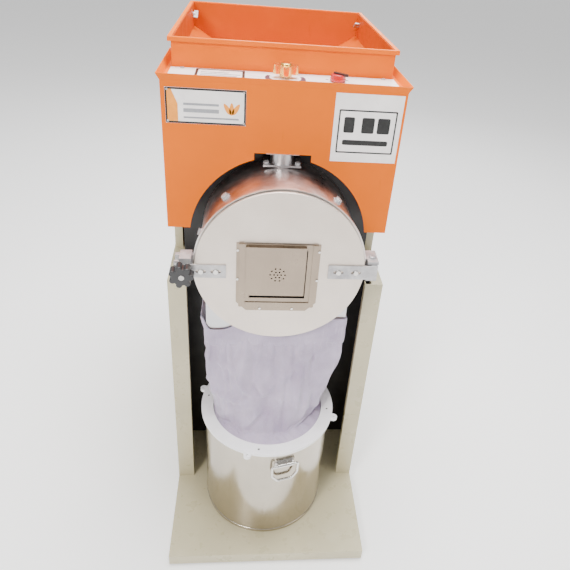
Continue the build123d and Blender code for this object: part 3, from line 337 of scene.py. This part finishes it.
def bag_cloth(name):
    """Thin white filter cloth with a lavender tint: a plain weave, slubs, darker lavender patches that
    are painted fold shade, and flour on it.
    """
    box = Paintbox(name, (0.80, 0.78, 0.84), 0.85)
    warp = box.wave(640, "X", 0.4)
    weft = box.wave(640, "Z", 0.4)
    weave = box.math("MAXIMUM", warp, weft)
    # noise mask between a dark and a light lavender: the tint is the cloth's own, the dark patches are
    # painted fold shade
    tone_and_fold_shade = box.span(box.noise(13, 5, 0.6), 0.32, 0.68)
    slubs = box.span(box.noise(1.0, 4, 0.6, box.stretched((300, 300, 26))), 0.58, 0.75, 0, 0.35)
    base = box.mix(tone_and_fold_shade, (0.33, 0.235, 0.36), (0.56, 0.455, 0.58))
    threads = box.mix(box.span(weave, 0.2, 0.9, 0.0, 0.30), base, (0.70, 0.61, 0.72))
    box.color(box.mix(slubs, threads, (0.76, 0.69, 0.77)))
    box.bump(weave, 0.25, 0.0004)
    box.bump(box.noise(60, 4, 0.6), 0.25, 0.0012)
    box.set(Sheen_Weight=0.35, Sheen_Roughness=0.5, Subsurface_Weight=0.12)
    return box.material


def ink(name, color, roughness=0.45):
    box = Paintbox(name, color, roughness)
    box.color(box.mix(box.span(box.noise(160, 3, 0.6), 0.3, 0.7), shade(color, 0.9),
                      tuple(min(c * 1.1 + 0.01, 1) for c in color)))
    box.bump(box.noise(500, 2, 0.5), 0.05, 0.0002)
    return box.material


CREAM = powder_coat("cream_paint", (0.50, 0.45, 0.29), 0.30, (0.66, 0.62, 0.49), 0.2, 0.6)
ORANGE = powder_coat("orange_paint", (0.80, 0.158, 0.0), 0.42, (0.85, 0.21, 0.0), 0.10, 0.08)
# darker copy of the orange paint for the inside of the hopper funnel: painted shade
ORANGE_PAINTED_SHADE = powder_coat("orange_painted_shade", (0.56, 0.092, 0.0), 0.46, (0.8, 0.26, 0.02), 0.10, 0.08)
WHITE = powder_coat("white_paint", (0.90, 0.86, 0.85), 0.30, (0.80, 0.75, 0.73), 0.2)
# black paint on the partition and motor shelf; its full black also stands in for the deep shade inside
# the frame (painted shade)
BLACK_PAINT_AND_SHADE = powder_coat("black_paint", (0.012, 0.011, 0.012), 0.45, (0.10, 0.09, 0.08), 0.30)
MOTOR_PAINT = powder_coat("motor_enamel", (0.10, 0.15, 0.17), 0.38, (0.35, 0.35, 0.33), 0.30)
DOOR_STEEL = sheet_steel("door_steel", (0.78, 0.69, 0.61), 0.42, (55, 55, 700), smudge_and_reflection=0.25)
VENT_STEEL = sheet_steel("vent_steel", (0.36, 0.29, 0.225), 0.30, (600, 60, 60), smudge_and_reflection=0.4)
# dark brown tint at a 0.9 smudge share: painted reflection, darkening the mirror steel as if it
# reflected a dark room
DRUM_STEEL = sheet_steel("drum_steel", (0.88, 0.80, 0.78), 0.31, (24, 300, 24),
                         tint=(0.20, 0.16, 0.16), smudge_and_reflection=0.9)
RING_STEEL = sheet_steel("ring_steel", (0.82, 0.77, 0.74), 0.34, (60, 60, 60), smudge_and_reflection=0.2)
SPOUT_STEEL = sheet_steel("spout_steel", (0.62, 0.61, 0.62), 0.30, (50, 50, 500))
BIN_STEEL = sheet_steel("bin_steel", (0.52, 0.47, 0.39), 0.15, (420, 420, 20), smudge_and_reflection=0.5)
HANDLE_STEEL = sheet_steel("handle_steel", (0.74, 0.72, 0.69), 0.22, (200, 200, 200))
STEEL = machined("machined_steel", (0.56, 0.54, 0.52), 0.34)
ZINC = zinc_plate("zinc")
BRASS = machined("brass", (0.88, 0.58, 0.17), 0.20, (0.45, 0.25, 0.07))
BLACK_PLASTIC = plastic("black_plastic", (0.016, 0.016, 0.018), 0.38, coat=0.2)
RED_PLASTIC = plastic("red_plastic", (0.50, 0.012, 0.016), 0.28, coat=0.5)
RING_PLASTIC = plastic("ring_plastic", (0.93, 0.92, 0.94), 0.34, 500, 0.0004, coat=0.2)
PLATE_WHITE = plastic("label_white", (0.95, 0.92, 0.91), 0.30, coat=0.4)
RUBBER = plastic("rubber", (0.02, 0.02, 0.02), 0.75, 500, 0.0006)
ALUMINIUM = cast_metal("aluminium", (0.60, 0.60, 0.61), 0.36, 1.0)
IRON = cast_metal("cast_iron", (0.11, 0.105, 0.10), 0.55, 0.9)
SCREEN = perforated_steel("screen_plate", (0.55, 0.54, 0.52))
LAMINATIONS = laminated("laminations", (0.20, 0.16, 0.13))
CLOTH = bag_cloth("bag_cloth")
INK_BLACK = ink("ink_black", (0.006, 0.006, 0.006))
INK_GREY = ink("ink_grey", (0.30, 0.31, 0.33))
INK_DIAL = ink("ink_dial", (0.07, 0.04, 0.065))
INK_ORANGE = ink("ink_orange", (0.95, 0.32, 0.02))

NODE_MATERIALS = {
    "base_tray": CREAM, "column_left": CREAM, "column_right": CREAM, "side_panels": CREAM,
    "back_panel": CREAM, "rubber_feet": RUBBER, "partition": BLACK_PAINT_AND_SHADE, "motor_shelf": BLACK_PAINT_AND_SHADE,
    "cable_gland": BLACK_PLASTIC, "hood_shell": ORANGE, "control_panel": WHITE,
    "label_plates": PLATE_WHITE, "cover_screws": ZINC, "feed_knob": BRASS, "feed_gate": STEEL,
    "switch_knob": RED_PLASTIC, "switch_body": BLACK_PLASTIC, "hopper_tray": ORANGE,
    "hopper_funnel": ORANGE_PAINTED_SHADE, "feed_throat": SPOUT_STEEL, "hopper_bolts": ZINC,
    "drum_shell": DRUM_STEEL, "drum_front_ring": RING_STEEL, "drum_bolts": ZINC,
    "grinding_liner": IRON, "flour_screen": SCREEN, "outlet_chute": SPOUT_STEEL,
    "door_lugs": ZINC, "hinge_pin": ZINC, "door_disc": DOOR_STEEL, "door_gasket": RUBBER,
    "vent_frame": VENT_STEEL, "vent_cover": VENT_STEEL, "door_straps": ZINC,
    "door_rivets": HANDLE_STEEL, "latch_washer": ZINC, "latch_knob": BLACK_PLASTIC,
    "rotor_hub": STEEL, "hammer_pins": STEEL, "hammers_1": STEEL, "hammers_2": STEEL,
    "hammers_3": STEEL, "hammers_4": STEEL, "rotor_nut": ZINC, "motor_frame": MOTOR_PAINT,
    "motor_end_shields": MOTOR_PAINT, "motor_stator": LAMINATIONS, "motor_bearings": STEEL,
    "motor_shaft": STEEL, "motor_rotor": LAMINATIONS, "cooling_fan": BLACK_PLASTIC,
    "fan_cowl": MOTOR_PAINT, "terminal_box": MOTOR_PAINT, "capacitor": ALUMINIUM,
    "bag_ring": RING_PLASTIC, "bin_shell": BIN_STEEL, "handle_brackets": HANDLE_STEEL,
    "bin_handle_front": HANDLE_STEEL, "bin_handle_rear": HANDLE_STEEL,
}

EDGE_WIDTHS = {
    "base_tray": 1.2, "column_left": 0.6, "column_right": 0.6, "side_panels": 0.5,
    "hood_shell": 0.4, "hopper_tray": 0.35, "hopper_funnel": 0.3, "control_panel": 0.4,
    "label_plates": 0.25, "partition": 0.8, "motor_shelf": 0.8, "back_panel": 0.5,
    "drum_front_ring": 0.8, "drum_shell": 0.6, "outlet_chute": 0.5, "feed_throat": 0.4,
    "door_lugs": 0.9, "door_straps": 0.7, "vent_frame": 0.35, "vent_cover": 0.35,
    "bag_ring": 1.2, "switch_body": 0.8, "terminal_box": 1.0, "drum_bolts": 0.5,
    "hopper_bolts": 0.5, "rotor_hub": 0.6, "handle_brackets": 0.5, "feed_knob": 0.8,
}


def finish_cad_nodes():
    """Gives every CAD node its material, smooth shading by angle and softened edges."""
    for name, material in NODE_MATERIALS.items():
        node = NODES[name]
        node.data.materials.clear()
        node.data.materials.append(material)
        for polygon in node.data.polygons:
            polygon.use_smooth = True
        if name in EDGE_WIDTHS:
            bevel = node.modifiers.new("soft_edges", "BEVEL")
            bevel.width = EDGE_WIDTHS[name] * MM
            bevel.segments = 2
            bevel.limit_method = "ANGLE"
            bevel.angle_limit = math.radians(38)
            bevel.harden_normals = True
        else:
            split = node.modifiers.new("crisp_edges", "EDGE_SPLIT")
            split.split_angle = math.radians(34)


# ---------------------------------------------------------------- mesh helpers
def add_piece(name, mesh, material, body):
    piece = bpy.data.objects.new(name, mesh)
    SCENE.collection.objects.link(piece)
    mesh.materials.append(material)
    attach(piece, body)
    return piece


def mesh_from(name, build):
    """A mesh made by a function that fills a bmesh."""
    shape = bmesh.new()
    build(shape)
    bmesh.ops.recalc_face_normals(shape, faces=shape.faces)
    mesh = bpy.data.meshes.new(name)
    shape.to_mesh(mesh)
    shape.free()
    return mesh


def extruded(shape, outline, to_world, depth):
    """A prism on an outline of (x, y) points, from a plane given by to_world, depth along its z."""
    low = [shape.verts.new(to_world @ Vector((x, y, 0))) for x, y in outline]
    high = [shape.verts.new(to_world @ Vector((x, y, depth))) for x, y in outline]
    shape.faces.new(list(reversed(low)))
    shape.faces.new(high)
    for index in range(len(outline)):
        after = (index + 1) % len(outline)
        shape.faces.new((low[index], low[after], high[after], high[index]))


def band(shape, outer, inner, to_world, depth):
    """A closed frame between two outlines with the same number of points."""
    count = len(outer)
    rings = []
    for outline, z in ((outer, 0), (outer, depth), (inner, depth), (inner, 0)):
        rings.append([shape.verts.new(to_world @ Vector((x, y, z))) for x, y in outline])
    for first, second in zip(rings, rings[1:] + rings[:1]):
        for index in range(count):
            after = (index + 1) % count
            shape.faces.new((first[index], first[after], second[after], second[index]))


def rounded(x0, x1, y0, y1, radius, steps=6):
    """Outline of a rectangle with round corners, anticlockwise from the lower right corner."""
    points = []
    for cx, cy, start in ((x1 - radius, y0 + radius, -90), (x1 - radius, y1 - radius, 0),
                          (x0 + radius, y1 - radius, 90), (x0 + radius, y0 + radius, 180)):
        for step in range(steps + 1):
            angle = math.radians(start + 90 * step / steps)
            points.append((cx + radius * math.cos(angle), cy + radius * math.sin(angle)))
    return points


def circle(cx, cy, radius, steps=40):
    return [(cx + radius * math.cos(2 * math.pi * i / steps),
             cy + radius * math.sin(2 * math.pi * i / steps)) for i in range(steps)]


def lathe(shape, profile, to_world, steps=40):
    """Turns a profile of (radius, height) points round the plane's z axis."""
    rings = []
    for radius, height in profile:
        if radius < 1e-7:
            rings.append([shape.verts.new(to_world @ Vector((0, 0, height)))])
            continue
        ring = [shape.verts.new(to_world @ Vector((radius * math.cos(2 * math.pi * i / steps),
                                                   radius * math.sin(2 * math.pi * i / steps),
                                                   height))) for i in range(steps)]
        rings.append(ring)
    for first, second in zip(rings, rings[1:]):
        for i in range(steps):
            j = (i + 1) % steps
            if len(first) == 1 and len(second) > 1:
                shape.faces.new((first[0], second[j], second[i]))
            elif len(second) == 1 and len(first) > 1:
                shape.faces.new((first[i], first[j], second[0]))
            elif len(first) > 1:
                shape.faces.new((first[i], first[j], second[j], second[i]))


def smooth(piece, angle=35):
    for polygon in piece.data.polygons:
        polygon.use_smooth = True
    split = piece.modifiers.new("crisp_edges", "EDGE_SPLIT")
    split.split_angle = math.radians(angle)


def facing_front(x, y, z):
    """Plane at a point that faces the front: x to the right, y up, z towards -Y."""
    turn = Matrix(((1, 0, 0), (0, 0, -1), (0, 1, 0))).to_4x4()
    return Matrix.Translation((x, y, z)) @ turn


def facing_up(x, y, z):
    return Matrix.Translation((x, y, z))


# ---------------------------------------------------------------- prints on the hood and panel
PRINT = 0.00025          # thickness of a printed layer
NAME_PLATE_LOW = 0.957   # heights of the name plate's edges, its width, and the rating label's left edge
NAME_PLATE_HIGH = 1.022
NAME_PLATE_WIDE = 0.145
RATING_LEFT = 0.091


def front_prints():
    """Generic prints on the two label plates: frames, bars and three grains, with no words."""
    low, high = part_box("label_plates")
    face = low.y
    name_low = Vector((low.x, 0, NAME_PLATE_LOW))
    name_high = Vector((low.x + NAME_PLATE_WIDE, 0, NAME_PLATE_HIGH))
    rate_low, rate_high = Vector((RATING_LEFT, 0, low.z)), Vector((high.x, 0, high.z))
    to_world = facing_front(0, face, 0)

    def name_border(shape):
        outer = rounded(name_low.x + 0.0003, name_high.x - 0.0003, name_low.z + 0.0003,
                        name_high.z - 0.0003, 0.002)
        inner = rounded(name_low.x + 0.0036, name_high.x - 0.0036, name_low.z + 0.0036,
                        name_high.z - 0.0036, 0.0015)
        band(shape, outer, inner, to_world, PRINT)

    def name_bars(shape):
        left = name_low.x + 0.032
        for start, end, bottom, top in ((0, 0.064, 0.021, 0.028), (0, 0.064, 0.034, 0.038),
                                        (0, 0.100, 0.010, 0.013)):
            extruded(shape, rounded(left + start, left + end, name_low.z + bottom,
                                    name_low.z + top, 0.0012), to_world, PRINT)

    def name_grains(shape):
        x, z = name_low.x + 0.119, name_low.z + 0.030
        for lean, shift in ((-32, -0.008), (0, 0), (32, 0.008)):
            tilt = math.radians(lean)
            outline = []
            for cx, cy in circle(0, 0, 1, 28):
                gx, gy = cx * 0.0042 * (1 - 0.25 * cy), cy * 0.0115
                outline.append((x + shift + gx * math.cos(tilt) + gy * math.sin(tilt),
                                z + gy * math.cos(tilt) - gx * math.sin(tilt)))
            extruded(shape, outline, to_world, PRINT)

    def name_corner(shape):
        x, z = name_low.x + 0.0032, name_high.z - 0.0032
        extruded(shape, [(x, z), (x, z - 0.058), (x + 0.019, z - 0.058), (x + 0.019, z - 0.026),
                         (x + 0.008, z)], to_world, PRINT)

    def rating_frame(shape):
        outer = rounded(rate_low.x + 0.009, rate_high.x - 0.009, rate_low.z + 0.018,
                        rate_high.z - 0.030, 0.002)
        inner = rounded(rate_low.x + 0.0118, rate_high.x - 0.0118, rate_low.z + 0.0208,
                        rate_high.z - 0.0328, 0.0015)
        band(shape, outer, inner, to_world, PRINT)

    def rating_bars(shape):
        left, bottom = rate_low.x + 0.020, rate_low.z
        for start, end, low_z, high_z in ((0, 0.020, 0.058, 0.088), (0.034, 0.058, 0.058, 0.088),
                                          (0.064, 0.088, 0.058, 0.088), (0, 0.088, 0.034, 0.044)):
            extruded(shape, rounded(left + start, left + end, bottom + low_z, bottom + high_z,
                                    0.003), to_world, PRINT)

    for name, build, material in (("nameplate_border", name_border, INK_BLACK),
                                  ("nameplate_bars", name_bars, INK_GREY),
                                  ("nameplate_grains", name_grains, INK_ORANGE),
                                  ("nameplate_corner", name_corner, INK_ORANGE),
                                  ("rating_frame", rating_frame, INK_BLACK),
                                  ("rating_bars", rating_bars, INK_BLACK)):
        add_piece(name, mesh_from(name, build), material, "stand")


def plate_rivets():
    """Small dome rivets at the corners of the name plate."""
    low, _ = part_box("label_plates")

    def build(shape):
        for x in (low.x + 0.004, low.x + NAME_PLATE_WIDE - 0.004):
            for z in (NAME_PLATE_LOW + 0.004, NAME_PLATE_HIGH - 0.004):
                lathe(shape, [(0.0022, 0), (0.0020, 0.0007), (0.0012, 0.0011), (0, 0.0012)],
                      facing_front(x, low.y, z), 20)
    piece = add_piece("nameplate_rivets", mesh_from("nameplate_rivets", build), ZINC, "stand")
    smooth(piece, 50)


def panel_prints():
    """Dial scale round the feed knob, ticks at the switch, and a framed blank label."""
    low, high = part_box("control_panel")
    knob_low, knob_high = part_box("feed_knob")
    switch_low, switch_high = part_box("switch_knob")
    knob = (knob_low + knob_high) / 2
    switch = (switch_low + switch_high) / 2
    deck = facing_up(0, 0, high.z)

    def arc_band(shape, centre, inner, outer, start, end, steps=24):
        turn = [math.radians(start + (end - start) * i / steps) for i in range(steps + 1)]
        outline = [(centre.x + outer * math.cos(a), centre.y + outer * math.sin(a)) for a in turn]
        outline += [(centre.x + inner * math.cos(a), centre.y + inner * math.sin(a))
                    for a in reversed(turn)]
        extruded(shape, outline, deck, PRINT)

    def dial(shape):
        for start, end in ((158, 236), (302, 380)):
            for index in range(6):
                first = start + (end - start) * index / 6
                grow = 0.0012 * (index if start < 200 else 5 - index)
                arc_band(shape, knob, 0.0300, 0.0370 + grow, first + 0.4,
                         first + (end - start) / 6 - 0.4, 4)

    def switch_ticks(shape):
        for angle in (30, 90, 150):
            arc_band(shape, switch, 0.019, 0.025, angle - 4, angle + 4, 2)

    def label_frame(shape):
        x0, x1, y0, y1 = -0.168, -0.076, low.y + 0.009, high.y - 0.004
        band(shape, rounded(x0, x1, y0, y1, 0.003), rounded(x0 + 0.0050, x1 - 0.0050, y0 + 0.0050,
                                                            y1 - 0.0050, 0.002), deck, PRINT)

    def label_bars(shape):
        x0, y0 = -0.168, low.y + 0.009
        for row, reach in enumerate((0.068, 0.074, 0.052)):
            extruded(shape, rounded(x0 + 0.010, x0 + 0.010 + reach, y0 + 0.012 + row * 0.011,
                                    y0 + 0.017 + row * 0.011, 0.001), deck, PRINT)

    for name, build, material in (("dial_scale", dial, INK_DIAL),
                                  ("switch_ticks", switch_ticks, INK_DIAL),
                                  ("panel_label", label_frame, INK_BLACK),
                                  ("panel_label_bars", label_bars, INK_GREY)):
        add_piece(name, mesh_from(name, build), material, "stand")


def switch_dark_bar():
    """Dark bar across the switch knob, with a tail past its edge."""
    low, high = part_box("switch_knob")
    centre = (low + high) / 2
    place = Matrix.Translation((centre.x, centre.y, high.z - 0.0012)) @ Matrix.Rotation(
        math.radians(-38), 4, "Z")

    def build(shape):
        extruded(shape, rounded(-0.010, 0.0215, -0.0034, 0.0034, 0.0030), place, 0.0042)
    piece = add_piece("switch_dark_bar", mesh_from("switch_dark_bar", build), BLACK_PLASTIC,
                      "switch")
    smooth(piece)


# ---------------------------------------------------------------- small hardware
def knob_insert():
    """Steel cap in the middle of the star knob."""
    low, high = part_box("latch_knob")
    place = facing_front((low.x + high.x) / 2, low.y, (low.z + high.z) / 2)

    def build(shape):
        lathe(shape, [(0, -0.001), (0.0052, -0.001), (0.0052, 0.0006), (0.0048, 0.0010),
                      (0.0030, 0.0010), (0.0026, 0.0003), (0, 0.0003)], place, 32)
    piece = add_piece("latch_knob_insert", mesh_from("latch_knob_insert", build), STEEL, "latch")
    smooth(piece)


def screw_head(shape, to_world, radius, height, slot_angle):
    """A domed head with a low raised cross on it."""
    lathe(shape, [(radius, 0), (radius, height * 0.35), (radius * 0.88, height * 0.8),
                  (radius * 0.5, height), (0, height)], to_world, 28)
    turned = to_world @ Matrix.Rotation(slot_angle, 4, "Z") @ Matrix.Translation((0, 0, height))
    for quarter in (0, math.pi / 2):
        cross = turned @ Matrix.Rotation(quarter, 4, "Z")
        extruded(shape, [(-radius * 0.55, -radius * 0.1), (radius * 0.55, -radius * 0.1),
                         (radius * 0.55, radius * 0.1), (-radius * 0.55, radius * 0.1)],
                 cross, height * 0.06)


def ring_screws():
    """Dark screws set into the clamp ring, beside its lugs."""
    low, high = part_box("bag_ring")
    centre = (low + high) / 2
    radius = 0.1395

    def build(shape):
        for quarter in range(4):
            angle = math.radians(-9 + 90 * quarter)
            place = facing_up(centre.x + radius * math.cos(angle),
                              centre.y + radius * math.sin(angle), high.z - 0.0021)
            screw_head(shape, place, 0.0024, 0.0015, angle)
    piece = add_piece("ring_screws", mesh_from("ring_screws", build), BLACK_PLASTIC, "clamp_ring")
    smooth(piece)


# ---------------------------------------------------------------- bag
BAG_COLUMNS = 216
BAG_ROWS = 72
FLOUNCE_ROWS = 7         # rows of the gathered stretch inside the clamp ring
SIM_FRAMES = 24
HELD_SHARE = 0.09        # share of the rows that the spout holds during the drape
DRAPE_REACH = 0.008      # how far the drape may move a point
SPOUT_GAP = 0.0022       # cloth off the spout
HEM_GAP = 0.0035         # hem off the spout
EDGE_DIP = 0.033         # dip of the top edge at the front left
TUBE_RADIUS = 0.106      # the bag just above the clamp ring
TUBE_LEFT = 0.010        # how far it hangs to the left of the ring's middle there
FLOUNCE_WIDE = 0.019
FLOUNCE_HIGH = 0.0085
FRONT_OF = -0.2          # cloth in front of this carries the large creases
DRUM_LOW, DRUM_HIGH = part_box("drum_shell")

# the long crease down the front, as (height, place across) from the spout to the ring
CREASE = ((0.564, -0.052), (0.530, -0.057), (0.440, -0.063), (0.400, -0.040), (0.372, -0.036),
          (0.335, -0.062), (0.300, -0.070))


def rectangle_loop(half_x, half_y, radius, count):
    """Evenly spaced points round a rectangle with round corners, from the middle of its front."""
    corners = rounded(-half_x, half_x, -half_y, half_y, radius, 8)
    corners.append(corners[0])
    steps = [math.dist(a, b) for a, b in zip(corners, corners[1:])]
    total = sum(steps)
    at_front = half_x - radius
    points = []
    for index in range(count):
        along = (total * index / count - at_front) % total
        for (a, b), step in zip(zip(corners, corners[1:]), steps):
            if along <= step:
                share = along / step if step else 0
                points.append((a[0] + (b[0] - a[0]) * share, a[1] + (b[1] - a[1]) * share))
                break
            along -= step
    return points


def plan_of(name):
    """Middle and half size of a node's box, seen from above."""
    low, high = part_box(name)
    middle = ((low.x + high.x) / 2, (low.y + high.y) / 2)
    return middle, ((high.x - low.x) / 2, (high.y - low.y) / 2)


def ease_in_out(share):
    return share * share * (3 - 2 * share)


def step_at(value, place, width):
    """Rises smoothly from 0 to 1 as value passes a place."""
    return 1 / (1 + math.exp(-(value - place) / width))


def ridge(value, width):
    """A bump of height 1 where value is 0."""
    return math.exp(-(value / width) ** 2)


def crease_line(z):
    """Across position of the long crease down the front of the bag."""
    for (z0, x0), (z1, x1) in zip(CREASE, CREASE[1:]):
        if z >= z1:
            return x1 + (x0 - x1) * ease_in_out((z - z1) / (z0 - z1))
    return CREASE[-1][1]


def fold(x, y, z, turn, depth):
    """How far the cloth stands out at a point: soft gathers, slanting folds and sharp creases."""
    swell = 0.0036 * math.sin(9 * turn + 14 * z + 1.3 * math.sin(2 * turn))
    swell += 0.0030 * math.sin(15 * turn - 21 * z + 2.0 * math.sin(3 * turn + 9 * z))
    swell += 0.0018 * math.sin(31 * turn + 46 * z + 2.0 * math.sin(5 * turn))
    out = swell
    if y < FRONT_OF:
        across = x - crease_line(z)
        out += 0.0110 * ridge(across, 0.0075) - 0.0080 * ridge(across - 0.015, 0.009)
        level = z - 0.392 - 0.10 * (x + 0.10) ** 2
        out += 0.0080 * ridge(level, 0.0055) * step_at(-x, 0.055, 0.006)
        out += 0.0065 * ridge(z - 0.46 - 0.85 * (x - 0.03), 0.010)
        out += 0.0055 * ridge(z - 0.40 + 0.55 * (x - 0.02), 0.008)
    return out * depth


def bag_edge(x, y, top):
    """Height of the bag's top edge: it dips at the front left and stays clear of the drum."""
    edge = top - 0.003
    if y < 0:
        edge -= EDGE_DIP * (step_at(x, -0.138, 0.0025) - step_at(x, -0.085, 0.008))
    radius = (DRUM_HIGH.x - DRUM_LOW.x) / 2 + 0.0025
    if abs(x) < radius:
        edge = min(edge, (DRUM_LOW.z + DRUM_HIGH.z) / 2 - math.sqrt(radius * radius - x * x))
    return edge


def flare(x, below):
    """How far the bag's left corner stands off the spout, by the depth below its top edge."""
    return 0.007 * ridge(x + 0.146, 0.03) * ridge(below, 0.022)


def bag_shape():
    """Rest points of the bag, row by row from the hem to the clamp ring."""
    bag_low, bag_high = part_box("filter_bag")
    (top_x, top_y), (half_x, half_y) = plan_of("outlet_chute")
    (foot_x, foot_y), _ = plan_of("bag_ring")
    top = rectangle_loop(half_x + SPOUT_GAP, half_y + SPOUT_GAP, 0.006, BAG_COLUMNS)
    body_rows = BAG_ROWS - FLOUNCE_ROWS
    foot_z = bag_low.z + FLOUNCE_HIGH
    dip_z = bag_high.z - EDGE_DIP
    rows = []
    for row in range(body_rows + 1):
        t = row / body_rows
        blend = min(1.0, max(0.0, (t - 0.15) / 0.85))
        ring = []
        for index, (x, y) in enumerate(top):
            turn = 2 * math.pi * index / BAG_COLUMNS - math.pi / 2
            edge = bag_edge(x, y, bag_high.z)
            z = dip_z + (foot_z - dip_z) * t + (edge - dip_z) * (1 - t) ** 6
            px = (top_x + x) * (1 - blend)
            px += (foot_x - TUBE_LEFT + TUBE_RADIUS * math.cos(turn)) * blend
            py = (top_y + y) * (1 - blend)
            py += (foot_y + TUBE_RADIUS * math.sin(turn)) * blend
            ease = min(1.0, max(0.0, (t - 0.13) / 0.12))
            depth = ease_in_out(ease) * (0.55 + 0.45 * math.sin(math.pi * t))
            out = fold(px, py, z, turn, depth) + 0.004 * math.sin(math.pi * t) * ease
            ring.append((px + out * math.cos(turn) - flare(x, edge - z),
                         py + out * math.sin(turn), z))
        rows.append(ring)
    for step in range(1, FLOUNCE_ROWS + 1):
        s = step / FLOUNCE_ROWS
        ring = []
        for index in range(BAG_COLUMNS):
            turn = 2 * math.pi * index / BAG_COLUMNS - math.pi / 2
            radius = TUBE_RADIUS + FLOUNCE_WIDE * s
            shift = TUBE_LEFT * (1 - s)
            ripple = 0.0017 * math.sin(34 * turn + 2 * math.sin(5 * turn)) * math.sin(math.pi * s)
            ring.append((foot_x - shift + radius * math.cos(turn),
                         foot_y + radius * math.sin(turn),
                         foot_z - (foot_z - bag_low.z - 0.0012) * s ** 1.5 + ripple))
        rows.append(ring)
    return rows


def make_bag():
    """The bag's cloth as one open tube, draped."""
    rows = bag_shape()
    points = [point for ring in rows for point in ring]
    faces = []
    for row in range(BAG_ROWS):
        for index in range(BAG_COLUMNS):
            after = (index + 1) % BAG_COLUMNS
            faces.append((row * BAG_COLUMNS + index, row * BAG_COLUMNS + after,
                          (row + 1) * BAG_COLUMNS + after, (row + 1) * BAG_COLUMNS + index))
    mesh = bpy.data.meshes.new("bag_cloth")
    mesh.from_pydata(points, [], faces)
    bag = bpy.data.objects.new("bag_cloth", mesh)
    SCENE.collection.objects.link(bag)
    drape(bag)
    mesh.materials.append(CLOTH)
    for polygon in bag.data.polygons:
        polygon.use_smooth = True
    thickness = bag.modifiers.new("thickness", "SOLIDIFY")
    thickness.thickness = 0.0006
    thickness.offset = -1
    subdivide = bag.modifiers.new("smooth", "SUBSURF")
    subdivide.levels = 1
    subdivide.render_levels = 1
    return bag


def drape(bag):
    """Lets the bag crumple between its two fixed edges, and keeps the simulated shape."""
    pinned = bag.vertex_groups.new(name="pinned")
    held_rows = int(BAG_ROWS * HELD_SHARE)
    for row in list(range(held_rows + 1)) + list(range(BAG_ROWS - FLOUNCE_ROWS, BAG_ROWS + 1)):
        first = row * BAG_COLUMNS
        pinned.add(list(range(first, first + BAG_COLUMNS)), 1.0, "REPLACE")
    cloth = bag.modifiers.new("drape", "CLOTH")
    cloth.settings.vertex_group_mass = "pinned"
    cloth.settings.quality = 6
    cloth.settings.mass = 0.12
    cloth.settings.tension_stiffness = 12
    cloth.settings.compression_stiffness = 12
    cloth.settings.shear_stiffness = 4
    cloth.settings.bending_stiffness = 0.12
    cloth.settings.shrink_min = -0.07
    cloth.settings.use_pressure = True
    cloth.settings.uniform_pressure_force = 0.35
    cloth.collision_settings.use_collision = False
    cloth.collision_settings.use_self_collision = False
    cloth.point_cache.frame_start = 1
    cloth.point_cache.frame_end = SIM_FRAMES
    for step in range(1, SIM_FRAMES + 1):
        SCENE.frame_set(step)
    settled = bag.evaluated_get(bpy.context.evaluated_depsgraph_get())
    rest = np.array([v.co for v in bag.data.vertices])
    moved = np.array([v.co for v in settled.data.vertices]) - rest
    length = np.linalg.norm(moved, axis=1, keepdims=True)
    moved *= np.minimum(1.0, DRAPE_REACH / np.maximum(length, 1e-9))
    bag.modifiers.remove(cloth)
    bag.vertex_groups.remove(pinned)
    bag.data.vertices.foreach_set("co", (rest + moved).astype(np.float32).ravel())
    bag.data.update()
    SCENE.frame_set(1)


def dress_bag():
    """Puts the bag on the stand and adds its hem."""
    bag = make_bag()
    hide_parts("filter_bag")
    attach(bag, "stand")
    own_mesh(bag)
    hem = bag_hem()


def bag_hem():
    """The gathered band that ties the bag round the spout: a wavy strip with two swells."""
    _, bag_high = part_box("filter_bag")
    (middle_x, middle_y), (half_x, half_y) = plan_of("outlet_chute")
    count = 260
    loop = rectangle_loop(half_x + HEM_GAP, half_y + HEM_GAP, 0.008, count)
    seam = bag_high.z - 0.060
    levels = (0.0, 0.0015, 0.006, 0.012, 0.018, 0.0225, 0.024)
    swell = (0.0, 0.0012, 0.0018, 0.0010, 0.0018, 0.0012, 0.0)

    def build(shape):
        rings = []
        for level, out in zip(levels, swell):
            ring = []
            for index, (x, y) in enumerate(loop):
                turn = 2 * math.pi * index / count
                gather = math.sin(41 * turn + math.sin(7 * turn)) * (0.4 + level * 20)
                grow = 1 + out * (1 + 0.35 * gather) / math.hypot(x, y)
                top = bag_edge(x, y, bag_high.z) + 0.002
                drop = level * (1 + (top - seam) * 30)
                ring.append(shape.verts.new((middle_x + x * grow - flare(x, drop),
                                             middle_y + y * grow, top - drop)))
            rings.append(ring)
        for first, second in zip(rings, rings[1:]):
            for index in range(count):
                after = (index + 1) % count
                shape.faces.new((first[index], first[after], second[after], second[index]))
    piece = add_piece("bag_hem", mesh_from("bag_hem", build), CLOTH, "stand")
    for polygon in piece.data.polygons:
        polygon.use_smooth = True
    thickness = piece.modifiers.new("thickness", "SOLIDIFY")
    thickness.thickness = 0.0008
    return piece


make_camera()
make_stage()
finish_cad_nodes()
front_prints()
plate_rivets()
panel_prints()
switch_dark_bar()
knob_insert()
ring_screws()
dress_bag()
